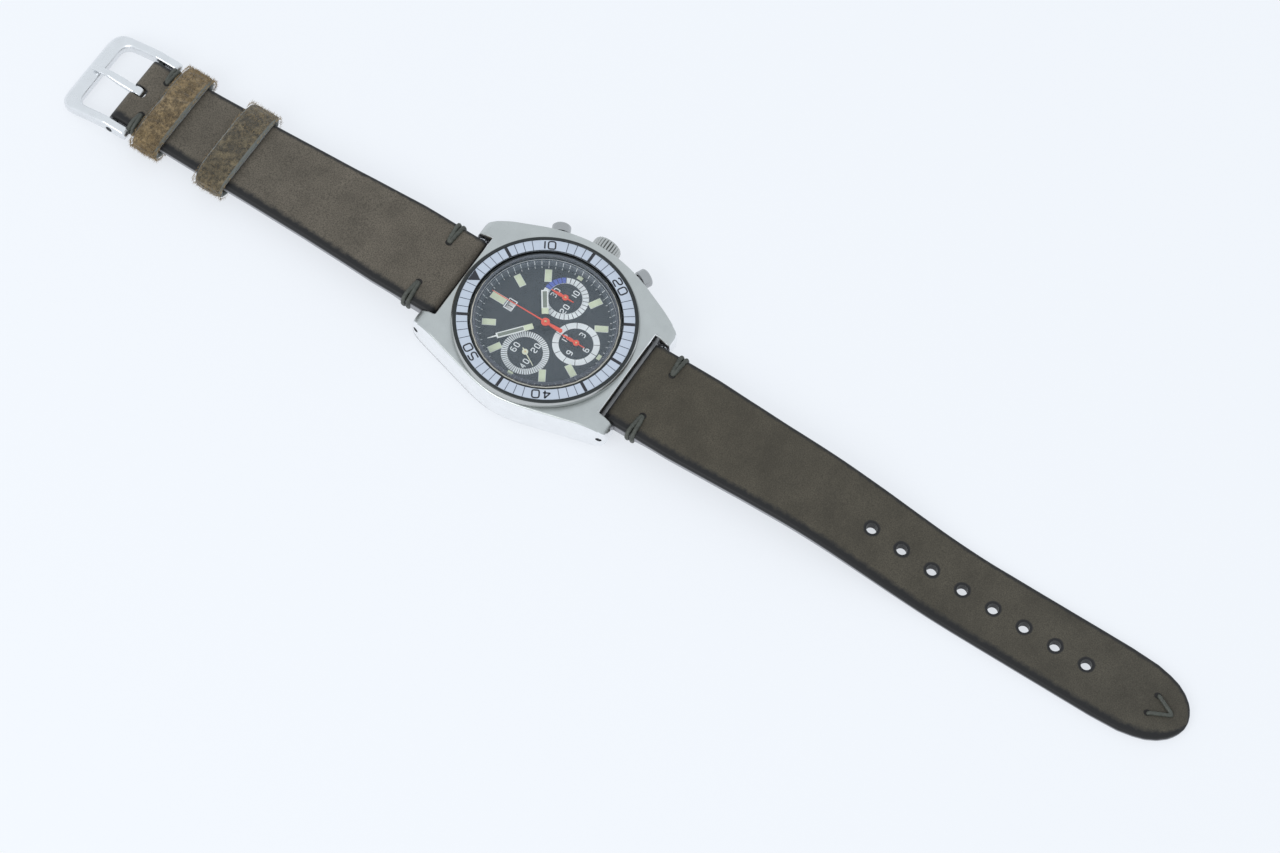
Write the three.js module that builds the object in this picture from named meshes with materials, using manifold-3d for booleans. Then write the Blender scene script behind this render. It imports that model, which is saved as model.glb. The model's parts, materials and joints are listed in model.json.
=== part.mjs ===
// Wrist chronograph with a stopwatch function, on a two-piece leather strap, in millimetres.
//
// Frame: +Z is the dial's normal, +Y points to 12 o'clock, +X to the crown. The origin is on the dial's axis at
// the outer face of the case back, which is also the plane of the table that the watch lies on.
import * as THREE from "three";
import { mergeVertices } from "three/addons/utils/BufferGeometryUtils.js";
import Module from "manifold-3d";

const wasm = await Module();
wasm.setup();

// ---------------------------------------------------------------- driving dimensions
const DEG = Math.PI / 180;

const LUG_GAP = 20; // standard strap width
const LUG_TIP = 22.4; // half the lug-to-lug length
const NOTCH_WALL = 18.95; // the case's wall behind the strap
const CASE_BOTTOM = 1.5;
const CASE_TOP = 9.05;
const MOVEMENT_BORE = 13.9; // radius of the case's inside
const CRYSTAL_BORE = 14.55;
const NECK = 14.9; // radius of the ring that the bezel turns on
const NECK_TOP = 10.3;
const SPRING_BAR = { y: 21.1, z: 5.0, radius: 0.75, tip: 0.55 };

const DIAL_RADIUS = 13.3;
const DIAL_BOTTOM = 7.75;
const DIAL_TOP = 8.15;
const REGISTER = 7.1; // distance from the dial's centre to each small dial
const DATE_WINDOW = { width: 2.0, low: 7.35, high: 8.75 };

const CONTROL_HEIGHT = 5.2; // height of the crown's and pushers' axes
const CROWN_RADIUS = 3.0;
const PUSHER_ANGLE = 25; // degrees above and below the crown
const PUSHER_TRAVEL = 0.8;
const PUSHER_TUBE_END = 21.1; // radius at which a pusher's guide tube ends, just clear of the flank

const TABLE = 0;
const STRAP_TOP = 6.9; // height of the strap's upper face at the lugs
const LONG_TIP = 144.5; // distance from the dial's axis to the long strap's tip
const SHORT_END = 97.9; // and to the fold that holds the buckle
const HOLES = { count: 8, first: 74.5, pitch: 6.86, radius: 1.1 };
const BUCKLE = { bar: 96.4, height: 3.6, inside: 8.0, outside: 10.0, front: 109.0 };

// The time shown at rest, as clockwise angles from 12 o'clock.
const REST_ANGLE = { hour: 55.8, minute: 309.5, seconds: 210 };

// ---------------------------------------------------------------- materials
const finish = (color, roughness, metalness) =>
  new THREE.MeshStandardMaterial({ color, roughness, metalness });
const STEEL = finish("#c3c6c9", 0.35, 1.0);
const BRIGHT_STEEL = finish("#d5d8da", 0.15, 1.0);
const BEZEL_STEEL = finish("#5f6266", 0.45, 1.0);
const INSERT = finish("#a9b8c9", 0.4, 0.6);
const ACRYLIC = finish("#eef3f6", 0.05, 0.0);
const RUBBER = finish("#1d1d1f", 0.8, 0.0);
const NYLON = finish("#e4e0d4", 0.6, 0.0);
const DIAL_BLACK = finish("#2a2b2e", 0.6, 0.1);
const DATE_WHITE = finish("#efeee8", 0.6, 0.0);
const BRASS = finish("#c8a558", 0.3, 1.0);
const GILT = finish("#c98f63", 0.3, 1.0);
const BLUE_STEEL = finish("#2c3f6b", 0.3, 1.0);
const HAND_BLACK = finish("#202124", 0.4, 0.4);
const HAND_ORANGE = finish("#e2401f", 0.45, 0.0);
const HAND_CREAM = finish("#e9e6d2", 0.45, 0.0);
const LEATHER = finish("#5b5148", 0.85, 0.0);
const SUEDE = finish("#6f6146", 0.95, 0.0);

// ---------------------------------------------------------------- shape helpers
// A closed geometry as a solid that can be cut and joined.
function solid(geometry) {
  const plain = geometry.index ? geometry.toNonIndexed() : geometry.clone();
  plain.deleteAttribute("normal");
  plain.deleteAttribute("uv");
  const merged = mergeVertices(plain, 1e-4);
  const corners = merged.index.array;
  const faces = [];
  for (let i = 0; i < corners.length; i += 3) {
    const [a, b, c] = corners.slice(i, i + 3);
    if (a !== b && b !== c && c !== a) faces.push(a, b, c);
  }
  return new wasm.Manifold(
    new wasm.Mesh({
      numProp: 3,
      vertProperties: merged.attributes.position.array,
      triVerts: new Uint32Array(faces),
    }),
  );
}

const asSolid = (shape) => (shape.isBufferGeometry ? solid(shape) : shape);
const join = (...shapes) => shapes.map(asSolid).reduce((a, b) => a.add(b));
const cut = (body, ...tools) => tools.map(asSolid).reduce((a, b) => a.subtract(b), asSolid(body));
const common = (a, b) => asSolid(a).intersect(asSolid(b));

function geometryOf(shape) {
  if (shape.isBufferGeometry) return shape;
  const mesh = shape.getMesh();
  const indexed = new THREE.BufferGeometry();
  indexed.setAttribute("position", new THREE.BufferAttribute(mesh.vertProperties, mesh.numProp));
  indexed.setIndex(new THREE.BufferAttribute(mesh.triVerts, 1));
  const flat = indexed.toNonIndexed();
  flat.computeVertexNormals();
  return flat;
}

const toVectors = (points) => points.map(([x, y]) => new THREE.Vector2(x, y));
const anticlockwise = (points) => (THREE.ShapeUtils.isClockWise(points) ? points.reverse() : points);

// Points of a circle, or of an arc from one angle to another in radians.
function circle(radius, count, [x, y] = [0, 0]) {
  return Array.from({ length: count }, (_, i) => {
    const a = (i * 2 * Math.PI) / count;
    return [x + radius * Math.cos(a), y + radius * Math.sin(a)];
  });
}
function arc(radius, from, to, steps, [x, y] = [0, 0]) {
  return Array.from({ length: steps + 1 }, (_, i) => {
    const a = from + ((to - from) * i) / steps;
    return [x + radius * Math.cos(a), y + radius * Math.sin(a)];
  });
}

// A flat plate in the XY plane between two heights; an outline is a list of points or a THREE.Shape.
function plate(outline, low, high, holes = []) {
  const shape = Array.isArray(outline) ? new THREE.Shape(anticlockwise(toVectors(outline))) : outline;
  shape.holes.push(...holes.map((h) => new THREE.Path(toVectors(h))));
  const options = { depth: high - low, bevelEnabled: false, curveSegments: 5 };
  return new THREE.ExtrudeGeometry(shape, options).translate(0, 0, low);
}

// The same plate with its outline in the YZ plane, between two places along X.
const ACROSS_X = new THREE.Matrix4().set(0, 0, 1, 0, 1, 0, 0, 0, 0, 1, 0, 0, 0, 0, 0, 1);
const plateAcrossX = (outline, low, high, holes) => plate(outline, low, high, holes).applyMatrix4(ACROSS_X);

// The same plate with its outline in the XZ plane, between two places along Y.
const plateAlongY = (outline, low, high, holes) => plate(outline, -high, -low, holes).rotateX(Math.PI / 2);

const block = (x0, x1, y0, y1, z0, z1) =>
  new THREE.BoxGeometry(x1 - x0, y1 - y0, z1 - z0).translate((x0 + x1) / 2, (y0 + y1) / 2, (z0 + z1) / 2);

// A profile of [radius, height] points turned about Z. It starts and ends on the axis, or is closed on itself
// when ring is true.
function turned(profile, count, ring = false) {
  const points = toVectors(ring ? [...profile, profile[0]] : profile);
  return new THREE.LatheGeometry(points, count).rotateX(Math.PI / 2);
}
const rodProfile = (radius, low, high) => [
  [0, low],
  [radius, low],
  [radius, high],
  [0, high],
];
const rod = (radius, low, high, count = 8) => turned(rodProfile(radius, low, high), count);
const tube = (inner, outer, low, high, count = 12) =>
  turned([[inner, low], [outer, low], [outer, high], [inner, high]], count, true);

// A geometry built along Z, laid along X or moved to a centre in the XY plane.
const alongX = (geometry, y = 0, z = 0) => geometry.rotateY(Math.PI / 2).translate(0, y, z);
const moved = (geometry, [x, y]) => geometry.translate(x, y, 0);

// A toothed disc: each tooth is one point at the tip and one at the root.
function gear(teeth, tip, root, low, high, hole = 0) {
  const outline = Array.from({ length: 2 * teeth }, (_, i) => {
    const a = (i * Math.PI) / teeth;
    const r = i % 2 ? root : tip;
    return [r * Math.cos(a), r * Math.sin(a)];
  });
  return plate(outline, low, high, hole ? [circle(hole, 8)] : []);
}

// ---------------------------------------------------------------- the assembly
const group = new THREE.Group();
function add(name, shape, material, { at = [0, 0, 0], clockwise = 0 } = {}) {
  const mesh = new THREE.Mesh(geometryOf(shape), material);
  mesh.name = name;
  mesh.position.set(...at);
  mesh.rotation.z = -clockwise * DEG;
  group.add(mesh);
}

// ---------------------------------------------------------------- case
// Half of the case's outline for each side: straight from the lug's tip, then a curve round the middle. The
// crown's side bulges further out, to guard the crown.
function caseOutline() {
  const s = new THREE.Shape();
  s.moveTo(-12.1, LUG_TIP);
  s.lineTo(12.1, LUG_TIP);
  s.quadraticCurveTo(13.1, LUG_TIP, 13.55, 21.5);
  s.lineTo(17.0, 13.7);
  s.quadraticCurveTo(20.3, 6.5, 20.3, 0);
  s.quadraticCurveTo(20.3, -6.5, 17.0, -13.7);
  s.lineTo(13.55, -21.5);
  s.quadraticCurveTo(13.1, -LUG_TIP, 12.1, -LUG_TIP);
  s.lineTo(-12.1, -LUG_TIP);
  s.quadraticCurveTo(-13.1, -LUG_TIP, -13.4, -21.4);
  s.lineTo(-17.3, -7.5);
  s.quadraticCurveTo(-18.6, -2.9, -18.6, 0);
  s.quadraticCurveTo(-18.6, 2.9, -17.3, 7.5);
  s.lineTo(-13.4, 21.4);
  s.quadraticCurveTo(-13.1, LUG_TIP, -12.1, LUG_TIP);
  return s;
}

// The case seen from the side: flat on top, with the lugs turned down at both ends.
function caseSide() {
  const half = [
    [17.5, CASE_TOP],
    [20.3, 8.4],
    [21.8, 7.2],
    [LUG_TIP, 5.9],
    [LUG_TIP, 3.4],
    [21.7, 2.2],
    [19.6, CASE_BOTTOM],
  ];
  const other = half.map(([y, z]) => [-y, z]).reverse();
  return plateAcrossX([...half, ...other], -25, 25);
}

const radial = (angle) => new THREE.Vector3(Math.cos(angle * DEG), Math.sin(angle * DEG), 0);
const upward = new THREE.Vector3(0, 0, 1);
const outward = (angle) => new THREE.Quaternion().setFromUnitVectors(upward, radial(angle));
const alongPusher = (geometry, angle) =>
  geometry.applyQuaternion(outward(angle)).translate(0, 0, CONTROL_HEIGHT);

const bore = turned(
  [
    [0, CASE_BOTTOM - 1],
    [15.1, CASE_BOTTOM - 1],
    [15.1, CASE_BOTTOM + 0.45],
    [14.1, CASE_BOTTOM + 0.45],
    [14.1, 3.2],
    [MOVEMENT_BORE, 3.2],
    [MOVEMENT_BORE, 8.2],
    [CRYSTAL_BORE, 8.2],
    [CRYSTAL_BORE, NECK_TOP + 1],
    [0, NECK_TOP + 1],
  ],
  36,
);
const lugHole = () => alongX(rod(0.65, -15, 15, 8), 0, SPRING_BAR.z);
const caseMiddle = cut(
  join(common(plate(caseOutline(), CASE_BOTTOM, CASE_TOP), caseSide()), rod(NECK, CASE_TOP - 0.5, NECK_TOP, 36)),
  bore,
  block(-LUG_GAP / 2, LUG_GAP / 2, NOTCH_WALL, 25, 0, 12),
  block(-LUG_GAP / 2, LUG_GAP / 2, -25, -NOTCH_WALL, 0, 12),
  lugHole().translate(0, SPRING_BAR.y, 0),
  lugHole().translate(0, -SPRING_BAR.y, 0),
  alongX(rod(1.35, 12, 22, 12), 0, CONTROL_HEIGHT),
  alongPusher(rod(1.3, 12, 23, 12), PUSHER_ANGLE),
  alongPusher(rod(1.3, 12, 23, 12), -PUSHER_ANGLE),
);
add("case_middle", caseMiddle, STEEL);

// Screw-in back with six key notches round its rim.
function caseBack() {
  const disc = turned(
    [
      [0, 0],
      [14.4, 0],
      [15.6, 0.9],
      [15.6, CASE_BOTTOM],
      [14.0, CASE_BOTTOM],
      [14.0, 3.0],
      [13.2, 3.0],
      [13.2, 1.0],
      [0, 1.0],
    ],
    36,
  );
  const notch = (i) => block(14.0, 17, -1.1, 1.1, -1, 0.5).rotateZ(i * 60 * DEG);
  return cut(disc, ...[0, 1, 2, 3, 4, 5].map(notch));
}
add("case_back", caseBack(), STEEL);
add("case_back_gasket", tube(14.4, 15.0, CASE_BOTTOM, 1.9, 24), RUBBER);

// ---------------------------------------------------------------- bezel and crystal
const bezelProfile = [
  [15.0, 9.15],
  [17.9, 9.15],
  [18.3, 9.5],
  [18.3, 10.2],
  [17.7, 10.95],
  [17.35, 10.95],
  [17.35, 10.45],
  [15.0, 10.45],
  [15.0, 9.95],
  [15.35, 9.95],
  [15.35, 9.5],
  [15.0, 9.5],
];
add("bezel_ring", turned(bezelProfile, 44, true), BEZEL_STEEL);
add("bezel_insert", tube(15.08, 17.25, 10.45, 10.85, 44), INSERT);
add("bezel_spring", tube(15.04, 15.3, 9.58, 9.88, 32), BRIGHT_STEEL);

// A domed acrylic cap with a straight wall: both faces are parabolas in section, and the profile runs from the
// axis out along the inside, down round the wall's foot and back up over the outside.
function crystal() {
  const inner = [0, 5, 10, 13.6].map((r) => [r, 10.4 + 1.25 * (1 - (r / 13.6) ** 2)]);
  const outer = [10.5, 5.5, 0].map((r) => [r, 10.9 + 1.5 * (1 - (r / 14.2) ** 2)]);
  return turned([...inner, [13.6, 9.2], [14.2, 9.2], [14.2, 10.9], ...outer], 36);
}
add("crystal", crystal(), ACRYLIC);
add("crystal_gasket", tube(14.28, 14.5, 9.2, 10.2, 32), NYLON);
const rehautProfile = [
  [13.0, 8.2],
  [14.5, 8.2],
  [14.5, 9.2],
  [13.9, 9.2],
  [13.0, 8.35],
];
add("rehaut_ring", turned(rehautProfile, 36, true), DIAL_BLACK);

// ---------------------------------------------------------------- dial and date
const REGISTERS = { minutes: [REGISTER, 0], hours: [0, -REGISTER], seconds: [-REGISTER, 0] };
const dialHoles = [
  circle(1.15, 12),
  ...Object.values(REGISTERS).map((centre) => circle(0.35, 8, centre)),
  [
    [-DATE_WINDOW.width / 2, DATE_WINDOW.low],
    [DATE_WINDOW.width / 2, DATE_WINDOW.low],
    [DATE_WINDOW.width / 2, DATE_WINDOW.high],
    [-DATE_WINDOW.width / 2, DATE_WINDOW.high],
  ],
];
add("dial", plate(circle(DIAL_RADIUS, 40), DIAL_BOTTOM, DIAL_TOP, dialHoles), DIAL_BLACK);
add("date_ring", tube(7.45, 9.5, 7.2, 7.55, 31), DATE_WHITE);
add("movement_holder", tube(13.38, 13.85, 6.0, 7.7, 32), NYLON);

// ---------------------------------------------------------------- movement, dial side
const MINUTE_WHEEL = [2.99, -2.99];
function mainPlate() {
  const holes = [circle(0.9, 12), ...Object.values(REGISTERS).map((centre) => circle(0.35, 8, centre))];
  const body = plate(circle(DIAL_RADIUS, 36), 6.0, 6.95, holes);
  const post = moved(rod(0.2, 6.8, 7.6), MINUTE_WHEEL);
  return cut(join(body, post), block(9.2, 11.2, -1.4, 1.4, 5.5, 6.5));
}
add("main_plate", mainPlate(), BRASS);
const cannonBody = join(gear(8, 1.1, 0.85, 7.02, 7.28), rod(0.75, 7.02, 9.35, 12));
add("cannon_pinion", cut(cannonBody, rod(0.5, 7, 10, 12)), STEEL);
add("minute_wheel", join(gear(24, 3.05, 2.75, 7.05, 7.25, 0.3), gear(6, 0.85, 0.55, 7.25, 7.6, 0.3)), BRASS, {
  at: [...MINUTE_WHEEL, 0],
});
const hourBody = join(gear(24, 3.3, 3.0, 7.35, 7.6), rod(1.05, 7.35, 9.0, 12));
add("hour_wheel", cut(hourBody, rod(0.85, 7, 10, 12)), BRASS);

// ---------------------------------------------------------------- movement, going train
const BARREL = [3.03, 5.24];
const THIRD = [-3.63, -0.94];
const FOURTH = REGISTERS.seconds;
const ESCAPE = [-8.38, -3.52];
const PALLET = [-6.77, -5.43];
const BALANCE = [-4.6, -8.0];

// The drum is a cup that opens towards the back; its spring lies in it as a spiral.
const drumProfile = [
  [0.65, 5.3],
  [4.6, 5.3],
  [4.6, 4.0],
  [4.9, 4.0],
  [4.9, 5.5],
  [0.65, 5.5],
];
add("barrel_drum", join(turned(drumProfile, 18, true), gear(36, 5.3, 4.95, 5.25, 5.5, 4.7)), BRASS, {
  at: [...BARREL, 0],
});

// A flat spiral strip: radius grows evenly with angle, and the section is thickness by height.
function spiral(inner, outer, turns, thickness, low, high, steps) {
  const edge = (offset) =>
    Array.from({ length: steps + 1 }, (_, i) => {
      const a = (i / steps) * turns * 2 * Math.PI;
      const r = inner + ((outer - inner) * i) / steps + offset;
      return [r * Math.cos(a), r * Math.sin(a)];
    });
  return plate([...edge(-thickness / 2), ...edge(thickness / 2).reverse()], low, high);
}
add("mainspring", spiral(1.3, 4.2, 3, 0.25, 4.2, 5.2, 27), BLUE_STEEL, { at: [...BARREL, 0] });
add("ratchet_wheel", join(gear(22, 3.4, 3.1, 2.75, 3.05), rod(0.55, 2.75, 5.9)), STEEL, { at: [...BARREL, 0] });
// Each train wheel is a wheel, its pinion and their arbor.
const centreGears = [gear(48, 3.2, 2.95, 5.65, 5.85), gear(6, 0.72, 0.5, 5.2, 5.65)];
const thirdGears = [gear(45, 3.0, 2.75, 4.7, 4.9), gear(6, 0.46, 0.3, 4.9, 5.9)];
const fourthGears = [gear(60, 3.3, 3.1, 4.3, 4.5), gear(6, 0.5, 0.3, 4.5, 5.0)];
const escapeGears = [gear(15, 1.9, 1.3, 4.7, 4.85), gear(6, 0.36, 0.22, 4.2, 4.7)];
const centreBody = join(...centreGears, rod(0.45, 3.95, 8.3, 12));
add("centre_wheel", cut(centreBody, rod(0.32, 3, 9, 12)), BRASS);
add("third_wheel", join(...thirdGears, rod(0.14, 3.9, 5.9)), BRASS, { at: [...THIRD, 0] });
add("fourth_wheel", join(...fourthGears, rod(0.2, 3.9, 8.7)), BRASS, { at: [...FOURTH, 0] });
add("escape_wheel", join(...escapeGears, rod(0.12, 3.9, 5.9)), STEEL, { at: [...ESCAPE, 0] });

// The anchor's arms reach back to the escape wheel and its fork forward to the balance, along +Y of its frame.
const anchorOutline = [
  [-1.5, -0.9],
  [-0.3, -0.25],
  [0.3, -0.25],
  [1.5, -0.9],
  [1.5, -0.5],
  [0.2, 0.3],
  [0.2, 1.9],
  [0.5, 2.5],
  [0.25, 2.5],
  [0, 2.1],
  [-0.25, 2.5],
  [-0.5, 2.5],
  [-0.2, 1.9],
  [-0.2, 0.3],
  [-1.5, -0.5],
];
const towardsBalance = Math.atan2(BALANCE[0] - PALLET[0], BALANCE[1] - PALLET[1]) / DEG;
add("pallet_fork", join(plate(anchorOutline, 4.95, 5.1), rod(0.12, 4.6, 5.9)), STEEL, {
  at: [...PALLET, 0],
  clockwise: towardsBalance,
});

function balanceWheel() {
  const rim = tube(3.15, 3.6, 4.1, 4.45, 16);
  const spoke = (a) => block(-3.3, 3.3, -0.15, 0.15, 4.2, 4.35).rotateZ(a * DEG);
  return join(rim, spoke(0), spoke(90), rod(0.15, 3.0, 5.9), rod(0.5, 4.55, 4.75, 12), rod(0.3, 4.2, 4.6));
}
add("balance_wheel", balanceWheel(), GILT, { at: [...BALANCE, 0] });
add("hairspring", spiral(0.5, 2.2, 3, 0.08, 3.6, 3.75, 27), BLUE_STEEL, { at: [...BALANCE, 0] });

// Bridges are plates on a round foot that stands on the main plate.
const foot = (centre, radius, low) => moved(rod(radius, low, 6.0, 10), centre);
const cockOutline = [
  [-11, -6.2],
  [-9.3, -5.9],
  [-4.3, -7.2],
  [-4.1, -8.7],
  [-9.0, -8.6],
];
const cockBody = join(plate(cockOutline, 3.2, 3.5), foot([-9.9, -7.0], 0.8, 3.2));
add("balance_cock", cut(cockBody, moved(rod(0.22, 3, 4), BALANCE)), STEEL);
const trainOutline = [
  [-2.6, 0.6],
  [-3.0, -3.0],
  [-8.0, -5.0],
  [-11.0, -3.4],
  [-11.2, 3.2],
  [-9.0, 7.6],
  [-5.0, 7.6],
];
add("train_bridge", join(plate(trainOutline, 3.3, 3.8), foot([-9.0, 6.2], 0.9, 3.3)), STEEL);
add(
  "barrel_bridge",
  cut(
    join(
      plate([[-2.6, 3.6], [0.2, 12.4], [5.6, 11.5], [9.4, 8.4], [8.2, 3.6], [2.4, 1.2]], 3.3, 3.8),
      foot([-1.4, 11.3], 0.9, 3.3),
      plate([[-2.2, 10.4], [0.6, 10.4], [0.6, 12.3], [-2.2, 12.2]], 3.3, 3.8),
    ),
    moved(rod(0.7, 3, 4, 12), BARREL),
  ),
  STEEL,
);

// ---------------------------------------------------------------- movement, chronograph works
add("chronograph_wheel", join(plate(circle(3.2, 24), 2.3, 2.5), rod(0.25, 1.7, 9.95)), BRASS);
add("minute_counter_wheel", join(gear(30, 2.6, 2.4, 2.2, 2.4), rod(0.2, 1.7, 8.7)), BRASS, {
  at: [...REGISTERS.minutes, 0],
});
add("hour_counter_wheel", join(gear(24, 2.6, 2.4, 2.2, 2.4), rod(0.2, 1.7, 8.7)), BRASS, {
  at: [...REGISTERS.hours, 0],
});
const chronographOutline = [
  [-1.5, 1.6],
  [7.5, 1.6],
  [8.8, 0],
  [7.5, -1.4],
  [1.4, -1.8],
  [1.2, -8.2],
  [-1.2, -8.2],
  [-1.5, -1.5],
];
const chronographArm = [
  [-1.5, 1.4],
  [-1.6, 1.6],
  [-6.2, 5.4],
  [-5.2, 7.0],
  [1.0, 1.6],
];
add(
  "chronograph_bridge",
  join(
    plate(chronographOutline, 1.3, 1.65),
    plate(chronographArm, 1.3, 1.65),
    moved(rod(0.6, 1.3, 3.3, 8), [-5.4, 6.0]),
  ),
  STEEL,
);

// Each lever turns on its own pin, with a finger in front of its pusher and a tail towards the crown's stem.
const LEVER_PIVOT = [9.6, 8.2];
function lever(side) {
  const outline = [
    [9.1, 8.6],
    [9.9, 8.9],
    [11.45, 5.75],
    [11.6, 5.0],
    [11.4, 2.3],
    [10.7, 2.1],
    [10.55, 4.6],
    [9.2, 7.9],
  ];
  const arm = plate(outline.map(([x, y]) => [x, side * y]), 5.0, 5.4);
  return join(arm, moved(rod(0.25, 4.2, 5.9), [LEVER_PIVOT[0], side * LEVER_PIVOT[1]]));
}
add("operating_lever", lever(1), STEEL);
add("flyback_lever", lever(-1), STEEL);

// ---------------------------------------------------------------- crown and pushers
function crown() {
  const flutes = 26;
  const outline = Array.from({ length: 2 * flutes }, (_, i) => {
    const r = i % 2 ? CROWN_RADIUS - 0.28 : CROWN_RADIUS;
    return [r * Math.cos((i * Math.PI) / flutes), r * Math.sin((i * Math.PI) / flutes)];
  });
  const side = [
    [0, 20.5],
    [2.6, 20.5],
    [3.05, 20.9],
    [3.05, 22.5],
    [2.5, 23.1],
    [0, 23.1],
  ];
  const envelope = turned(side, 24);
  return cut(common(plate(outline, 20.4, 23.2), envelope), rod(1.5, 20, 21.9, 12));
}
add("crown", alongX(geometryOf(crown()), 0, CONTROL_HEIGHT), STEEL);
add("crown_tube", alongX(tube(1.0, 1.3, 14.2, 21.6), 0, CONTROL_HEIGHT), STEEL);
add("winding_stem", alongX(rod(0.45, 9.1, 21.9), 0, CONTROL_HEIGHT), STEEL);
add("winding_pinion", alongX(gear(12, 1.1, 0.85, 9.4, 10.9, 0.56), 0, CONTROL_HEIGHT), STEEL);

// A hollow cap slides over the tube's end on a long stem; the coil spring sits inside the cap.
const pusherProfile = [
  [0, 12.9],
  [0.6, 12.9],
  [0.6, 22.9],
  [1.45, 22.9],
  [1.45, PUSHER_TUBE_END + PUSHER_TRAVEL],
  [1.9, PUSHER_TUBE_END + PUSHER_TRAVEL],
  [1.9, 23.4],
  [1.5, 23.85],
  [0, 23.9],
];
class Helix extends THREE.Curve {
  getPoint(t, target = new THREE.Vector3()) {
    const a = t * 3 * 2 * Math.PI;
    return target.set(1.03 * Math.cos(a), 1.03 * Math.sin(a), 21.32 + 1.38 * t);
  }
}
function coilSpring() {
  const wire = new THREE.Shape(toVectors(circle(0.11, 4)));
  return new THREE.ExtrudeGeometry(wire, { steps: 24, extrudePath: new Helix(), bevelEnabled: false });
}
[
  ["start", PUSHER_ANGLE],
  ["reset", -PUSHER_ANGLE],
].forEach(([name, angle]) => {
  add(`${name}_pusher`, alongPusher(turned(pusherProfile, 20), angle), BRIGHT_STEEL);
  add(`${name}_pusher_tube`, alongPusher(tube(0.75, 1.25, 14.2, PUSHER_TUBE_END), angle), STEEL);
  add(`${name}_pusher_spring`, alongPusher(coilSpring(), angle), STEEL);
});

// ---------------------------------------------------------------- hands, each drawn pointing to 12 o'clock
function hand(outline, hub, hole, low, thickness) {
  const blade = plate(outline, low, low + thickness);
  return cut(join(blade, rod(hub, low, low + thickness, 16)), rod(hole, low - 1, low + 1, 12));
}
const mirrored = (half) => [...half, ...half.map(([x, y]) => [-x, y]).reverse()];
const boxHand = (neck, end, width, tip) =>
  mirrored([
    [0.35, 0],
    [0.35, neck],
    [width / 2, neck + 0.15],
    [width / 2, end],
    [0.18, end + 0.25],
    [0.12, tip],
  ]);
const smallHand = mirrored([
  [0.22, -1.0],
  [0.12, 0],
  [0.32, 1.4],
  [0.06, 3.2],
]);
const sweepHand = mirrored([
  [0.4, -3.6],
  [0.2, 0],
  [0.1, 12.3],
]);
add("hour_hand", hand(boxHand(2.1, 7.3, 1.35, 8.0), 1.5, 1.1, 8.85, 0.15), HAND_BLACK, { clockwise: REST_ANGLE.hour });
add("minute_hand", hand(boxHand(2.5, 9.9, 1.2, 11.7), 1.3, 0.8, 9.2, 0.15), HAND_BLACK, {
  clockwise: REST_ANGLE.minute,
});
add("chrono_seconds_hand", hand(sweepHand, 0.85, 0.3, 9.6, 0.15), HAND_ORANGE);
const small = () => hand(smallHand, 0.6, 0.24, 8.45, 0.12);
add("minute_counter_hand", small(), HAND_ORANGE, { at: [...REGISTERS.minutes, 0] });
add("hour_counter_hand", small(), HAND_ORANGE, { at: [...REGISTERS.hours, 0] });
add("running_seconds_hand", small(), HAND_CREAM, { at: [...REGISTERS.seconds, 0], clockwise: REST_ANGLE.seconds });

// ---------------------------------------------------------------- strap
const smoothstep = (from, to, s) => {
  const u = Math.min(Math.max((s - from) / (to - from), 0), 1);
  return u * u * (3 - 2 * u);
};
const between = (a, b, u) => a + (b - a) * u;
const spread = (from, to, count) => Array.from({ length: count + 1 }, (_, i) => between(from, to, i / count));

// Each strap half is the overlap of its side view (distance from the dial's axis, height) and its plan.
function strapHalf(side, topAt, thicknessAt, stations, endNose, plan) {
  const lugNose = arc(1.75, 90 * DEG, 270 * DEG, 6, [SPRING_BAR.y, 5.1]);
  const top = stations.map((s) => [s, topAt(s)]).reverse();
  const bottom = stations.map((s) => [s, topAt(s) - thicknessAt(s)]);
  const profile = [...top, ...lugNose, ...bottom, ...endNose].map(([s, z]) => [side * s, z]);
  const outline = mirrored(plan).map(([x, s]) => [x, side * s]);
  const body = common(plateAcrossX(profile, -11, 11), plate(outline, -2, 10));
  return cut(body, alongX(rod(1.0, -12, 12, 12), side * SPRING_BAR.y, SPRING_BAR.z));
}

// The long half runs level, then drops in a gentle S to lie on the table.
const longTop = (s) => between(STRAP_TOP, 1.9, smoothstep(57.7, 98.9, s));
const longThickness = (s) => between(between(3.4, 2.4, smoothstep(24, 30, s)), 1.9, smoothstep(57.7, 98.9, s));
const longPlan = [
  [9.8, 19.3],
  [9.8, 34],
  [9.15, 50],
  [8.7, 66],
  [8.3, 86],
  [8.2, 95],
  [8.2, 128],
  [7.9, 134],
  [6.6, 139.2],
  [4.2, 142.7],
  [2.0, 144.1],
  [0.4, LONG_TIP],
];
const longStations = [23.5, 27, 30, 57.7, ...spread(64, 94, 5), 98.9, LONG_TIP + 0.1];
const punched = spread(0, HOLES.count - 1, HOLES.count - 1).map((i) =>
  rod(HOLES.radius, -1, 9, 8).translate(0, -(HOLES.first + HOLES.pitch * i), 0),
);
add("strap_long", cut(strapHalf(-1, longTop, longThickness, longStations, [], longPlan), ...punched), LEATHER);

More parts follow.
